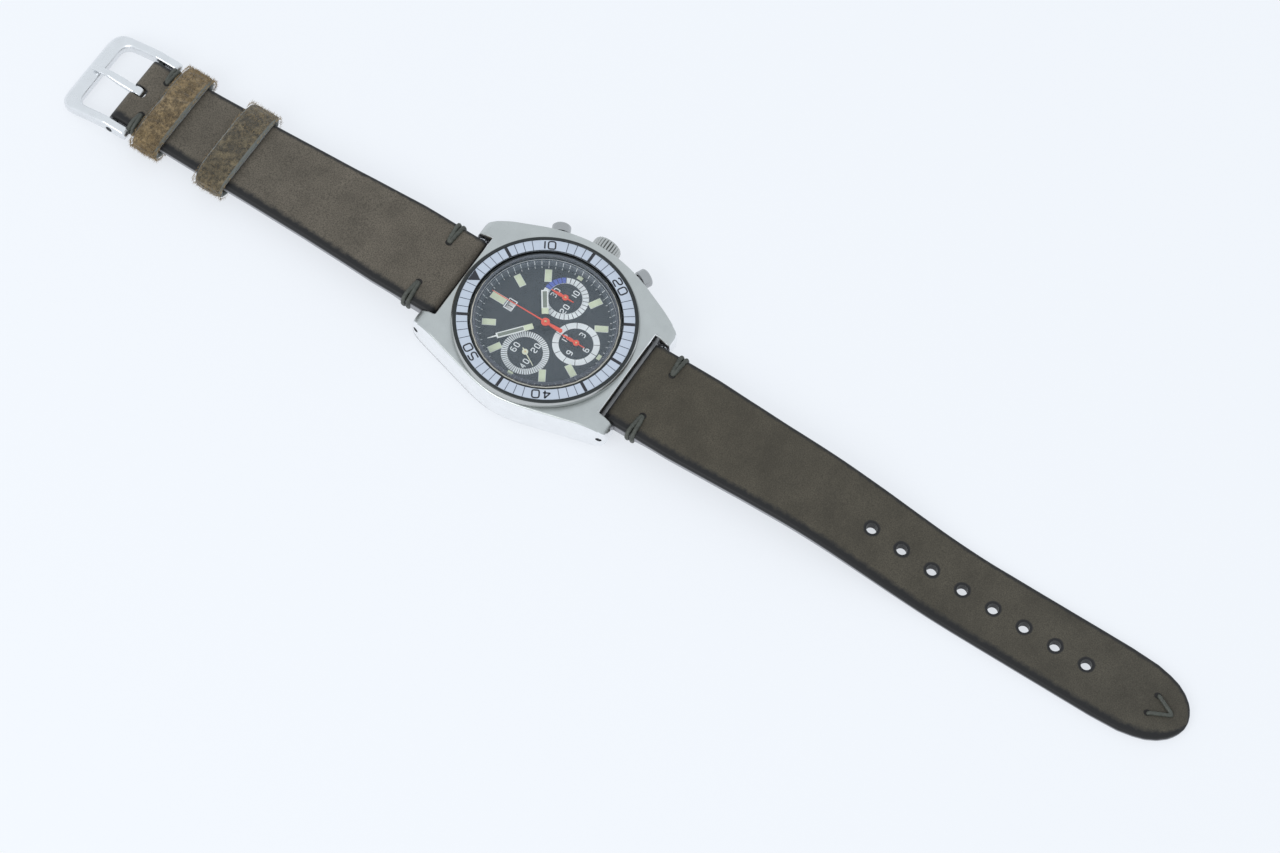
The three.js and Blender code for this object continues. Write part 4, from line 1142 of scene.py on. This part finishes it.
def nubuck(name, colour, short_colour, far_colour, edge_colour, painted_side_sheen):
    """Brushed leather: cloudy nap that darkens along Y, pores, light rubbed spots, smooth dark edges with a
    grey painted sheen on their flanks.
    """
    f = Finish(name, colour, 0.85)
    cloud = f.remap(f.noise(170, 5, 0.6), 0.32, 0.68, 0.0, 1.0)
    place = f.nodes.new("ShaderNodeSeparateXYZ")
    f.links.new(f.object, place.inputs[0])
    y = place.outputs[1]
    near = f.remap(y, -0.13, -0.03, 0.0, 1.0)
    halves = f.mixed(f.remap(y, -0.01, 0.01, 0.0, 1.0), colour, short_colour)
    tone = f.mixed(near, far_colour, halves)
    patches = f.remap(f.noise(70, 4, 0.6), 0.47, 0.62, 0.0, 0.6)
    stain = f.math("MULTIPLY", patches, f.math("SUBTRACT", 1.0, near))
    tone = f.mixed(stain, tone, shaded(far_colour, 0.62))
    base = f.tinted(tone, f.remap(cloud, 0.0, 1.0, 0.82, 1.18))
    speck = f.remap(f.noise(3800, 3, 0.7), 0.4, 0.66, 0.0, 0.75)
    base = f.mixed(speck, base, shaded(far_colour, 0.5))
    bright = f.remap(f.noise(5200, 2, 0.6), 0.58, 0.72, 0.0, 0.42)
    base = f.mixed(bright, base, shaded(colour, 1.9))
    edge = f.attribute("edge")
    ragged = f.math("ADD", edge, f.remap(f.noise(900, 4), 0.3, 0.7, -0.09, 0.09))
    share = f.remap(ragged, 0.3, 0.62, 0.0, 1.0)
    # The flanks get a light grey: painted sheen standing for the gloss on the dark burnished edge, not the
    # edge's own colour.
    rim = f.remap(f.attribute("side"), 0.3, 0.9, 0.0, 1.0)
    f.colour(f.mixed(rim, f.mixed(share, base, edge_colour), painted_side_sheen))
    f.roughness(f.remap(share, 0.0, 1.0, 0.9, 0.5))
    f.shader.inputs["Specular IOR Level"].default_value = 0.32
    f.shader.inputs["Sheen Weight"].default_value = 0.12
    f.shader.inputs["Sheen Roughness"].default_value = 0.5
    nap = f.bump(f.noise(4200, 5, 0.7), 0.5, 0.00006)
    f.bump(f.noise(500, 4, 0.5), 0.35, 0.0002, nap)
    return f.material


# The last colour is the grey painted sheen for the flanks of the dark edges.
leather = nubuck("grey brown nubuck", (0.075, 0.065, 0.047), (0.13, 0.112, 0.088), (0.076, 0.068, 0.052),
                 (0.009, 0.009, 0.0095), (0.27, 0.27, 0.285))
thread_finish = speckled("waxed thread", THREAD_COLOUR, 0.5, 0.6, 5000, depth=0.00003)
LONG_WIDTH = ((19.3, 9.8), (34, 9.8), (50, 9.15), (66, 8.7), (86, 8.3), (95, 8.2), (128, 8.2), (134, 7.9),
              (137, 7.3), (139.2, 6.6), (141.2, 5.5), (142.7, 4.2), (143.6, 3.0), (144.1, 2.0), (144.4, 1.0),
              (144.5, 0.35))
SHORT_WIDTH = ((19.3, 9.8), (34, 9.8), (50, 9.15), (66, 8.7), (86, 8.3), (90, 8.2), (92.3, 7.7), (98, 7.7))
HOLE_START, HOLE_PITCH, HOLE_RADIUS = 74.5, 6.86, 1.1
BUCKLE_BAR_Y, BUCKLE_BAR_Z = 96.4, 3.6

# %% [markdown]
# The strap is thick at the lugs and thin at its tip. Height and thickness are smooth functions of the
# distance from the watch's middle. Where the leather is folded round a bar, the section closes in a half
# circle.

# %% Strap heights and sections
def ease(low, high, s):
    """0 below low, 1 above high, and 3t^2 - 2t^3 between."""
    t = np.clip((np.asarray(s, float) - low) / (high - low), 0, 1)
    return t * t * (3 - 2 * t)


def blend_to(a, b, t):
    """a at t = 0, b at t = 1, in a straight line between."""
    return a * (1 - t) + b * t


def long_surface(s):
    """Top and bottom height of the long half at distance s from the dial's axis."""
    top = blend_to(6.9, 1.9, ease(57.7, 98.9, s))
    thick = blend_to(blend_to(3.4, 2.4, ease(24, 30, s)), 1.9, ease(57.7, 98.9, s))
    return top, top - thick


def short_surface(s):
    """Top and bottom height of the short half."""
    top = blend_to(6.9, 5.1, ease(30, 92, s))
    thick = blend_to(blend_to(3.4, 2.4, ease(24, 30, s)), 3.0, ease(91, 95, s))
    return top, top - thick


def nosed(surface, s, tip, centre, radius):
    """Heights that close in a half circle of that radius where the strap is folded round a bar."""
    top, bottom = surface(s)
    reach = np.clip(np.abs(s - centre) / radius, 0, 1)
    half = radius * np.sqrt(np.maximum(1 - reach**2, 0))
    ahead = (s < centre) if tip < centre else (s > centre)
    mid = (surface(np.array(centre))[0] + surface(np.array(centre))[1]) / 2
    return np.where(ahead, mid + half, top), np.where(ahead, mid - half, bottom)


def strap_points(stations, width, top, bottom, shoulder=0.95, sign=1):
    """Section points at every station. The top edge rolls over an ellipse, one shoulder wide.

    The open face is domed: it drops by dome |u|^3 from the middle, u = 0, to the shoulder, u = 1."""
    half, mid = (top - bottom) / 2, (top + bottom) / 2
    reach = np.minimum(np.minimum(shoulder, width * 0.6), half * 1.6 + 0.02)
    dome = 0.10
    flat = np.linspace(-1, 1, 34)
    angles = np.linspace(0, pi, 15)[1:-1]
    columns = [(u * (width - reach), mid + half - dome * np.abs(u) ** 3) for u in flat]
    for side, turn in ((1, angles), (-1, angles[::-1])):
        if side < 0:
            columns += [(u * (width - reach), mid - half) for u in flat[::-1]]
        for a in turn:
            up = np.sign(cos(a)) * abs(cos(a)) ** 0.8
            drop = dome if up > 0 else 0
            columns.append((side * (width - reach + reach * sin(a) ** 0.6), mid + (half - drop) * up))
    x, z = (np.stack([column[k] for column in columns], 1) for k in (0, 1))
    return np.stack([x, np.broadcast_to(sign * stations[:, None], x.shape), z], -1)

# %% [markdown]
# Cut leather is sealed with dark wax along its rim and inside its holes. A number at each vertex says how
# close it is to such an edge, and the finish reads it. A sum of sines keeps the long faces from being flat.

# %% Burnished edges and unevenness
def mark_edges(piece, plan, surface, holes=(), extra=()):
    """Vertex numbers: edge is 1 on the burnished rim and in the punched holes, side is 1 on the flanks, which
    the finish paints with a grey sheen.
    """
    x, y, z = (vertex_points(piece.data) / MM).T
    s = np.abs(y)
    inwards = np.interp(s, *zip(*plan)) - np.abs(x)
    top = surface(s)[0]
    side = np.clip(1 - inwards / np.where(x < 0, 3.1, 1.6), 0, 1)
    below = np.clip((top - 0.35 - z) / 0.5, 0, 1)
    value = np.maximum(side, below)
    for place in holes:
        value = np.maximum(value, np.clip(1.15 - (np.hypot(x, s - place) - HOLE_RADIUS) / 0.8, 0, 1))
    for place in extra:
        value = np.maximum(value, np.clip(1 - np.abs(s - place) / 0.8, 0, 1))
    store_numbers(piece.data, "edge", value)
    # side: the flanks, where the finish paints a grey sheen over the dark edge.
    store_numbers(piece.data, "side", np.clip((top - 0.7 - z) / 0.4, 0, 1) * (inwards < 0.6))


def waves(points, seed, size, lengths):
    """Soft unevenness: the heights follow a sum of sines in x and y with random directions and phases."""
    rng = np.random.default_rng(seed)
    x, y, z = points[..., 0], points[..., 1], points[..., 2]
    total = np.zeros_like(z)
    for length in lengths:
        turn, phase = rng.uniform(0, tau), rng.uniform(0, tau)
        total += np.sin((x * cos(turn) + y * sin(turn)) * tau / length + phase)
    points[..., 2] = z + size * total / len(lengths)
    return points

# %% [markdown]
# The thread is thick, waxed and twisted. A stitch is a cord along a smoothed path, so it bends round the
# leather's edge as real thread does.

# %% Thread and stitches
def thread(name, path, radius=0.34, twist=0.12, sides=12):
    """A round cord along a path, with a shallow spiral where its plies wrap."""
    p, pitch = np.asarray(path, float), 0.11
    length = np.concatenate([[0], np.cumsum(np.linalg.norm(np.diff(p, axis=0), axis=1))])
    even = np.arange(0, length[-1], pitch)
    p = np.column_stack([np.interp(even, length, p[:, k]) for k in range(3)])
    for _ in range(3):
        p[1:-1] = (p[:-2] + 2 * p[1:-1] + p[2:]) / 4
    tangent = np.gradient(p, axis=0)
    tangent /= np.linalg.norm(tangent, axis=1)[:, None]
    side = np.cross(tangent, (0, 1, 0.01))
    side /= np.maximum(np.linalg.norm(side, axis=1), 1e-6)[:, None]
    other = np.cross(tangent, side)
    a = np.arange(sides) * tau / sides
    along = np.arange(len(p)) * pitch
    r = radius * (1 + twist * np.abs(np.sin(a[None, :] - along[:, None] * tau / 1.7)) - twist / 2)
    r[0], r[-1] = r[0] * 0.35, r[-1] * 0.35
    outward = side[:, None] * np.cos(a)[None, :, None] + other[:, None] * np.sin(a)[None, :, None]
    return capped(name, p[:, None] + r[..., None] * outward, thread_finish)


def edge_loop(name, s, spread, sign, side, surface, width, inner=5.0):
    """A stitch from a hole in the face, outwards and round the edge, spread away from its twin on the way."""
    top, bottom = (float(v) for v in surface(np.array(s)))
    lift, edge = 0.22, width + 0.12
    middle = (top + bottom) / 2
    path = [(inner, top - 0.55), (inner + 0.15, top + 0.05), (inner + 0.7, top + lift),
            (edge - 1.3, top + lift), (edge - 0.35, top - 0.1), (edge, middle + 0.3), (edge, middle - 0.3),
            (edge - 0.4, bottom + 0.05), (edge - 1.4, bottom - 0.12), (inner + 0.6, bottom - 0.12),
            (inner, bottom + 0.4)]
    run = np.clip((np.array(path)[:, 0] - inner) / (width - inner), 0, 1) ** 0.4
    return thread(name, [(side * x, sign * (s + spread * r), z) for (x, z), r in zip(path, run)], 0.46)


# %% [markdown]
# Both halves are swept, drilled and stitched in the same way. The long half has eight holes and a rounded
# tip. The short half folds round the bar of the buckle and has a slot for the tongue.

# %% Strap halves
def make_long_strap():
    """The half with the holes: sweep, fold tunnel, eight punched holes, stitches at both ends."""
    nose = LUG_BAR_Y - 1.75 * np.cos(np.linspace(0.06, pi / 2, 14))
    tip = np.array([143.0, 143.4, 143.8, 144.05, 144.25, 144.4, 144.46])
    stations = np.concatenate([nose, np.linspace(21.3, 142.6, 300), tip])
    top, bottom = nosed(long_surface, stations, 19.3, LUG_BAR_Y, 1.75)
    shrink = np.interp(stations, (143.4, 144.46), (1.0, 0.45))
    mid = (top + bottom) / 2
    top, bottom = mid + (top - mid) * shrink, mid + (bottom - mid) * shrink
    width = np.interp(stations, *zip(*LONG_WIDTH))
    points = strap_points(stations, width, top, bottom, sign=-1)
    half = capped("long strap", waves(points, 4, 0.05, (37, 23, 14, 9)), leather)
    fold = axis_along((1, 0, 0), (0, -LUG_BAR_Y, LUG_BAR_Z))
    cutters = [rod("tunnel", 1.0, -12, 12, leather, fold, 40)]
    places = [HOLE_START + HOLE_PITCH * k for k in range(8)]
    for y in places:
        cutters.append(rod("hole", HOLE_RADIUS, -2, 9, leather, axis_along((0, 0, 1), (0, -y, 0)), 40))
    carve(half, *cutters, sharp=50)
    mark_edges(half, LONG_WIDTH, long_surface, places)
    stitches = []
    for side in (1, -1):
        for spread in (-0.55, 0.55):
            stitches.append(edge_loop("stitch", 25.85, spread, -1, side, long_surface, 9.8, 5.4))
        stitches.append(pit(side * 5.2, -25.85, 6.9))
    z = long_surface(np.array(139.0))[0]
    for x in (2.06, -2.06):
        path = [(x, -137.2, z - 0.4), (x, -137.2, z + 0.1), (x * 0.9, -137.6, z + 0.2),
                (x * 0.15, -140.7, z + 0.2), (0, -141.1, z + 0.1), (0, -141.1, z - 0.4)]
        stitches.append(thread("tip stitch", path, 0.4))
        stitches.append(pit(x, -137.0, float(z)))
    whole = joined("long strap", [half, *stitches])
    print("long strap faces:", len(whole.data.polygons))
    return settle(whole, "strap_long", "strap_long", slot="strap_leather")


def pit(x, y, top):
    """A dark disc where a stitch enters the leather: painted shade for the hollow."""
    a = np.arange(24) * tau / 24
    plan = np.column_stack([x + 0.62 * np.cos(a), y + 0.72 * np.sin(a)])
    return slab("painted stitch shade", plan, top - 0.3, top + 0.035, stitch_hole_shade)


def make_short_strap():
    """The half with the buckle: sweep, tunnel at the lugs, slot for the tongue, stitches at both folds."""
    nose = LUG_BAR_Y - 1.75 * np.cos(np.linspace(0.06, pi / 2, 14))
    fold = BUCKLE_BAR_Y + 1.5 * np.sin(np.linspace(0, pi / 2 - 0.06, 16))
    stations = np.concatenate([nose, np.linspace(21.3, 96.2, 220), fold])
    top, bottom = nosed(short_surface, stations, 19.3, LUG_BAR_Y, 1.75)
    reach = np.clip((stations - BUCKLE_BAR_Y) / 1.5, 0, 1)
    arc = 1.5 * np.sqrt(np.maximum(1 - reach**2, 0))
    folded = stations > BUCKLE_BAR_Y
    top, bottom = np.where(folded, BUCKLE_BAR_Z + arc, top), np.where(folded, BUCKLE_BAR_Z - arc, bottom)
    width = np.interp(stations, *zip(*SHORT_WIDTH))
    points = strap_points(stations, width, top, bottom, sign=1)
    half = capped("short strap", waves(points, 9, 0.05, (31, 19, 13, 8)), leather)
    slot_plan = rounded([(-1.25, 94.4), (1.25, 94.4), (1.25, 99), (-1.25, 99)], 0.9, 6)
    at_lugs = axis_along((1, 0, 0), (0, LUG_BAR_Y, LUG_BAR_Z))
    at_buckle = axis_along((1, 0, 0), (0, BUCKLE_BAR_Y, BUCKLE_BAR_Z))
    cutters = [rod("tunnel", 1.0, -12, 12, leather, at_lugs, 40),
               rod("buckle tunnel", 0.8, -12, 12, leather, at_buckle, 40),
               slab("tongue slot", slot_plan, 0, 8, leather)]
    carve(half, *cutters, sharp=50)
    mark_edges(half, SHORT_WIDTH, short_surface, extra=(98.2,))
    stitches = []
    for side in (1, -1):
        for spread in (-0.55, 0.55):
            stitches.append(edge_loop("stitch", 25.85, spread, 1, side, short_surface, 9.8, 5.4))
            stitches.append(edge_loop("fold stitch", 92.5, spread * 0.8, 1, side, short_surface, 7.95, 4.4))
        stitches.append(pit(side * 5.2, 25.85, 6.9))
        stitches.append(pit(side * 4.3, 92.5, float(short_surface(np.array(92.5))[0])))
    whole = joined("short strap", [half, *stitches])
    print("short strap faces:", len(whole.data.polygons))
    return settle(whole, "strap_short", "strap_short", slot="strap_leather")


# Near-black discs at the stitch holes are painted shade, standing for the hollows.
stitch_hole_shade = speckled("painted stitch hole shade", (0.012, 0.011, 0.010), 0.9)
make_long_strap()
make_short_strap()

# %% [markdown]
# ## Keepers
# The two loops that hold the strap's free end are split suede, far shaggier than the strap. Each is a
# closed band. Its outer face is roughened, and short fibres stand on it, thickest along the band's two cut
# edges.

# %% Suede
def suede(name, colour, light, edge_colour):
    """Golden brown nap: three sizes of mottling, with smooth green grey edges from the vertex number edge."""
    f = Finish(name, colour, 0.95)
    cloud = f.remap(f.noise(420, 5, 0.65), 0.34, 0.66, 0.0, 1.0)
    base = f.mixed(cloud, shaded(colour, 0.55), light)
    tuft = f.remap(f.noise(1300, 4, 0.75), 0.4, 0.6, 0.0, 1.0)
    base = f.mixed(tuft, base, shaded(colour, 0.35))
    hair = f.noise(2000, 4, 0.8, f.stretched((1.0, 6.0, 1.0)))
    base = f.mixed(f.remap(hair, 0.52, 0.7, 0.0, 0.6), base, shaded(light, 1.35))
    f.colour(f.mixed(f.remap(f.attribute("edge"), 0.4, 0.75, 0.0, 1.0), base, edge_colour))
    f.shader.inputs["Sheen Weight"].default_value = 0.4
    nap = f.bump(f.noise(2600, 5, 0.75), 0.9, 0.00018)
    f.bump(hair, 0.5, 0.00008, nap)
    return f.material


suede_gold = suede("golden suede", (0.15, 0.10, 0.045), (0.36, 0.26, 0.13), (0.13, 0.14, 0.128))
suede_olive = suede("olive suede", (0.085, 0.07, 0.045), (0.19, 0.15, 0.085), (0.13, 0.14, 0.128))
fibre_finish = speckled("suede fibre", (0.36, 0.26, 0.135), 0.9, 0.35, 4000)
FIBRE_RADIUS = 0.035

# %% [markdown]
# A band is a squared-off loop with a soft section. Fine relief breaks its surface up. Thousands of thin
# needles stand for the loose fibres, which noise alone cannot show at the outline.

# %% Keeper bands
def bent(wave, power):
    """The sign of a wave times its size raised to a power; it squares off circles."""
    return np.sign(wave) * np.abs(wave) ** power


def nap_relief(rng, t, v, tufts):
    """Three sums of sines plus smoothed random heights, over the way round t and the section angle v."""
    relief = np.zeros((len(t), len(v)))
    for scale_t, scale_v, size in ((9, 2, 0.06), (23, 3, 0.05), (47, 5, 0.04)):
        phase = rng.uniform(0, tau, 2)
        relief += size * np.sin(scale_t * t[:, None] + phase[0]) * np.sin(scale_v * v[None, :] + phase[1])
    rough = rng.normal(0, 1.0, relief.shape)
    for axis in (0, 1, 0, 1):
        rough = (np.roll(rough, 1, axis) + 2 * rough + np.roll(rough, -1, axis)) / 4
    return relief + rough * tufts


def suede_fibres(rng, count, outer, outward, centre, length, height, box):
    """Thin three sided needles rooted in the outer face; the box keeps them near their piece."""
    k = rng.integers(0, len(outer), count)
    place_along = np.clip(rng.normal(0, 0.36, count), -0.5, 0.5) * length * 0.98
    reach = rng.uniform(0.3, 0.9, count)
    root = np.stack([outer[k, 0], centre + place_along, outer[k, 1] + height], -1)
    lift = np.stack([outward[k, 0], np.zeros(count), outward[k, 1]], -1)
    sway = rng.normal(0, 0.3, (count, 3))
    tip = root + lift * (reach * 0.5)[:, None] + sway
    ring = np.array([(1, 0, 0), (-0.5, 0.87, 0), (-0.5, -0.87, 0)]) * FIBRE_RADIUS
    foot = (root - lift * 0.22)[:, None] + ring[None]
    vertices = np.concatenate([foot, tip[:, None]], 1).reshape(-1, 3)
    vertices = np.clip(vertices, box[0] - 0.3, box[1] + 0.2)
    needle = np.array([(0, 1, 3), (1, 2, 3), (2, 0, 3), (0, 2, 1)])
    faces = needle[None] + 4 * np.arange(count)[:, None, None]
    return new_object("fibres", vertices, faces.reshape(-1, 3), fibre_finish)


def make_keeper(node, body, centre, length, half_width, half_height, wall, height, finish, fibres, tufts,
                seed):
    """Band = closed path round the strap x soft section along the strap. Fibres lean outwards from it."""
    rng = np.random.default_rng(seed)
    around, across = 300, 64
    t, v = np.arange(around) * tau / around, np.arange(across) * tau / across
    outline = lambda a, b, power: np.column_stack([bent(np.cos(t), power) * a, bent(np.sin(t), power) * b])
    inner = outline(half_width, half_height, 0.36)
    outer = outline(half_width + wall - 0.15, half_height + wall - 0.15, 0.72)
    thick = (bent(np.cos(v), 0.5) + 1) / 2
    along = bent(np.sin(v), 0.45) * (length / 2 - 0.1)
    plan = inner[:, None] * (1 - thick[None, :, None]) + outer[:, None] * thick[None, :, None]
    relief = nap_relief(rng, t, v, tufts) * thick[None, :] ** 2
    outward = outer / np.linalg.norm(outer, axis=1)[:, None]
    plan = plan + outward[:, None] * (relief[..., None] - 0.05 * thick[None, :, None])
    ragged = 1 + rng.normal(0, 0.012, (around, across)) * (np.abs(np.sin(v))[None, :] > 0.8)
    narrowed = 1 - 0.16 * (np.abs(plan[..., 0]) / (half_width + wall)) ** 6
    points = np.stack([plan[..., 0], centre + along[None, :] * ragged * narrowed, plan[..., 1] + height], -1)
    band = grid_object(node, points, finish, close_rows=True, close_columns=True, sharp=60)
    offset = vertex_points(band.data)[:, 1] / MM - centre
    rim = np.clip((np.abs(offset) - length / 2 + np.where(offset < 0, 0.95, 0.6)) / 0.5, 0, 1)
    store_numbers(band.data, "edge", rim)
    hairs = suede_fibres(rng, fibres, outer, outward, centre, length, height, node_box(node))
    whole = joined(node, [band, hairs])
    print(node, "faces:", len(whole.data.polygons))
    return settle(whole, body, node, slot="keeper_suede")


make_keeper("keeper_fixed", "strap_short", 87.9, 6.3, 8.75, 1.4, 1.8, 3.93, suede_gold, 7000, 0.30, 3)
make_keeper("keeper_floating", "keeper", 72.5, 6.8, 9.0, 1.5, 1.7, 4.33, suede_olive, 2600, 0.14, 8)

# %% [markdown]
# ## Buckle
# A pin buckle of satin steel. The frame is one bent bar: two arms that rise to the strap's bar and a wide
# flat front. Its section is swept round the opening, between the outer and the inner outline. The tongue is
# a tapered finger that starts in a ring on the bar.

# %% Buckle
FRAME_TOP = ((92.6, 4.3), (93.4, 4.9), (98, 4.9), (100.5, 4.4), (103, 3.75), (105, 3.3), (107, 2.75),
             (108.4, 2.1), (109.0, 1.55))
FRAME_LOW = ((92.6, 2.9), (93.4, 2.4), (98, 2.2), (100.5, 1.75), (103, 1.1), (105, 0.6), (107, 0.15),
             (108.4, 0.02), (109.0, 0.0))
BUCKLE_END = 92.7


def frame_path(side, front, turn_from, flat):
    """Half turn round the opening: up one arm, round a corner, across the front, and back."""
    return np.vstack([straight((side, BUCKLE_END), (side, turn_from), 50),
                      curve((side, turn_from), (side, front), (flat, front), 22),
                      straight((flat, front), (-flat, front), 50),
                      curve((-flat, front), (-side, front), (-side, turn_from), 22),
                      straight((-side, turn_from), (-side, BUCKLE_END), 50), [(-side, BUCKLE_END)]])


def make_buckle():
    """Section corners are softened by a superellipse; heights follow the side view along the plan."""
    outer, inner = frame_path(10, 108.95, 105.2, 6.4), frame_path(8, 105.3, 103.0, 5.6)
    v = np.arange(28) * tau / 28
    across, upward = (bent(np.cos(v), 0.5) + 1) / 2, (bent(np.sin(v), 0.5) + 1) / 2
    plan = inner[:, None] * (1 - across[None, :, None]) + outer[:, None] * across[None, :, None]
    y = plan[..., 1]
    high, low = np.interp(y, *zip(*FRAME_TOP)), np.interp(y, *zip(*FRAME_LOW))
    middle, half = (high + low) / 2, (high - low) / 2
    z = middle + half * (upward[None, :] * 2 - 1)
    z += 0.10 * np.cos(np.clip(plan[..., 0] / 7, -1, 1) * pi / 2) * (y > 105) * (upward[None, :] - 0.3)
    points = np.concatenate([plan, z[..., None]], -1)
    ends = []
    for row in (points[0], points[-1]):
        centre = row.mean(0)
        cap = centre + (row - centre) * 0.55
        cap[:, 1] -= 0.22
        ends.append(cap)
    points = np.concatenate([ends[0][None], points, ends[1][None]])
    frame_piece = capped("buckle frame", points, steel_satin, sharp=60)
    across_axis = axis_along((1, 0, 0), (0, BUCKLE_BAR_Y, BUCKLE_BAR_Z))
    carve(frame_piece, rod("bar hole", 0.72, -12, 12, steel_satin, across_axis, 32), sharp=60)
    pin = rod("bar", 0.7, -9.1, 9.1, steel_dark, across_axis, 32)
    whole = joined("buckle", [frame_piece, pin])
    return settle(whole, "buckle", "buckle_frame", "buckle_bar", slot="polished_steel")

# %% [markdown]
# The tongue is pressed from one bar: a ring that turns on the buckle's bar, and a finger that lies on the
# frame and tapers towards its tip.

# %% Buckle tongue
def make_tongue():
    """Finger: both heights from the side view; half width from 0.93 down to 0.6 before the round tip."""
    y = np.concatenate([np.linspace(97.0, 107.2, 50), [107.4, 107.55, 107.65, 107.7]])
    low = np.interp(y, (97.0, 100, 103.4, 107.2, 107.7), (3.05, 3.45, 3.95, 3.0, 3.25))
    high = np.interp(y, (97.0, 100, 103.6, 107.3, 107.7), (4.6, 4.75, 4.83, 3.75, 3.35))
    for _ in range(4):
        low[1:-1] = (low[:-2] + low[1:-1] * 2 + low[2:]) / 4
        high[1:-1] = (high[:-2] + high[1:-1] * 2 + high[2:]) / 4
    width = np.interp(y, (97, 101, 104.5, 106.5, 107.3, 107.6, 107.7),
                      (0.93, 0.93, 0.66, 0.6, 0.6, 0.4, 0.12))
    v = np.arange(24) * tau / 24
    u, w = bent(np.cos(v), 0.7), bent(np.sin(v), 0.7)
    x = width[:, None] * u[None]
    z = ((low + high) / 2)[:, None] + ((high - low) / 2)[:, None] * w[None]
    points = np.stack([x, np.broadcast_to(y[:, None], x.shape), z], -1)
    finger = capped("finger", points, steel_satin, sharp=60)
    across = axis_along((1, 0, 0), (0, BUCKLE_BAR_Y, BUCKLE_BAR_Z))
    ring = turned("ring", ring_profile(0.74, 1.25, -0.93, 0.93, 0.2), steel_satin, 60, True, across)
    return settle(joined("buckle tongue", [finger, ring]), "tongue", "buckle_tongue", slot="polished_steel")


make_buckle()
make_tongue()

# %% [markdown]
# ## Inner pieces
# The movement, gaskets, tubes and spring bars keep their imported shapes. They get the metal or rubber that
# the record's slot names, so that they look right when the watch is opened.

# %% Inner pieces
SLOT_FINISH = {
    "brushed_case_steel": steel_brushed, "polished_steel": steel_polished, "bezel_steel": steel_dark,
    "bezel_insert": insert_metal, "acrylic": acrylic, "gasket_rubber": rubber, "nylon": nylon,
    "dial_black": dial_paint, "date_white": date_paint, "brass": brass, "gilt": gilt,
    "blued_steel": blued, "movement_steel": steel_movement, "hand_black": hand_black,
    "hand_orange": orange, "hand_cream": cream, "strap_leather": leather, "keeper_suede": suede_gold}


def dress_inner_pieces():
    """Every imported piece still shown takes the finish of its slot."""
    dressed = 0
    for entry in frame["record"]["subparts"]:
        piece = frame["nodes"][entry["node"]]
        if piece.hide_render:
            continue
        piece.data.materials.clear()
        piece.data.materials.append(SLOT_FINISH[entry["material_slot"]])
        dressed += 1
    return dressed


print("inner pieces dressed:", dress_inner_pieces())
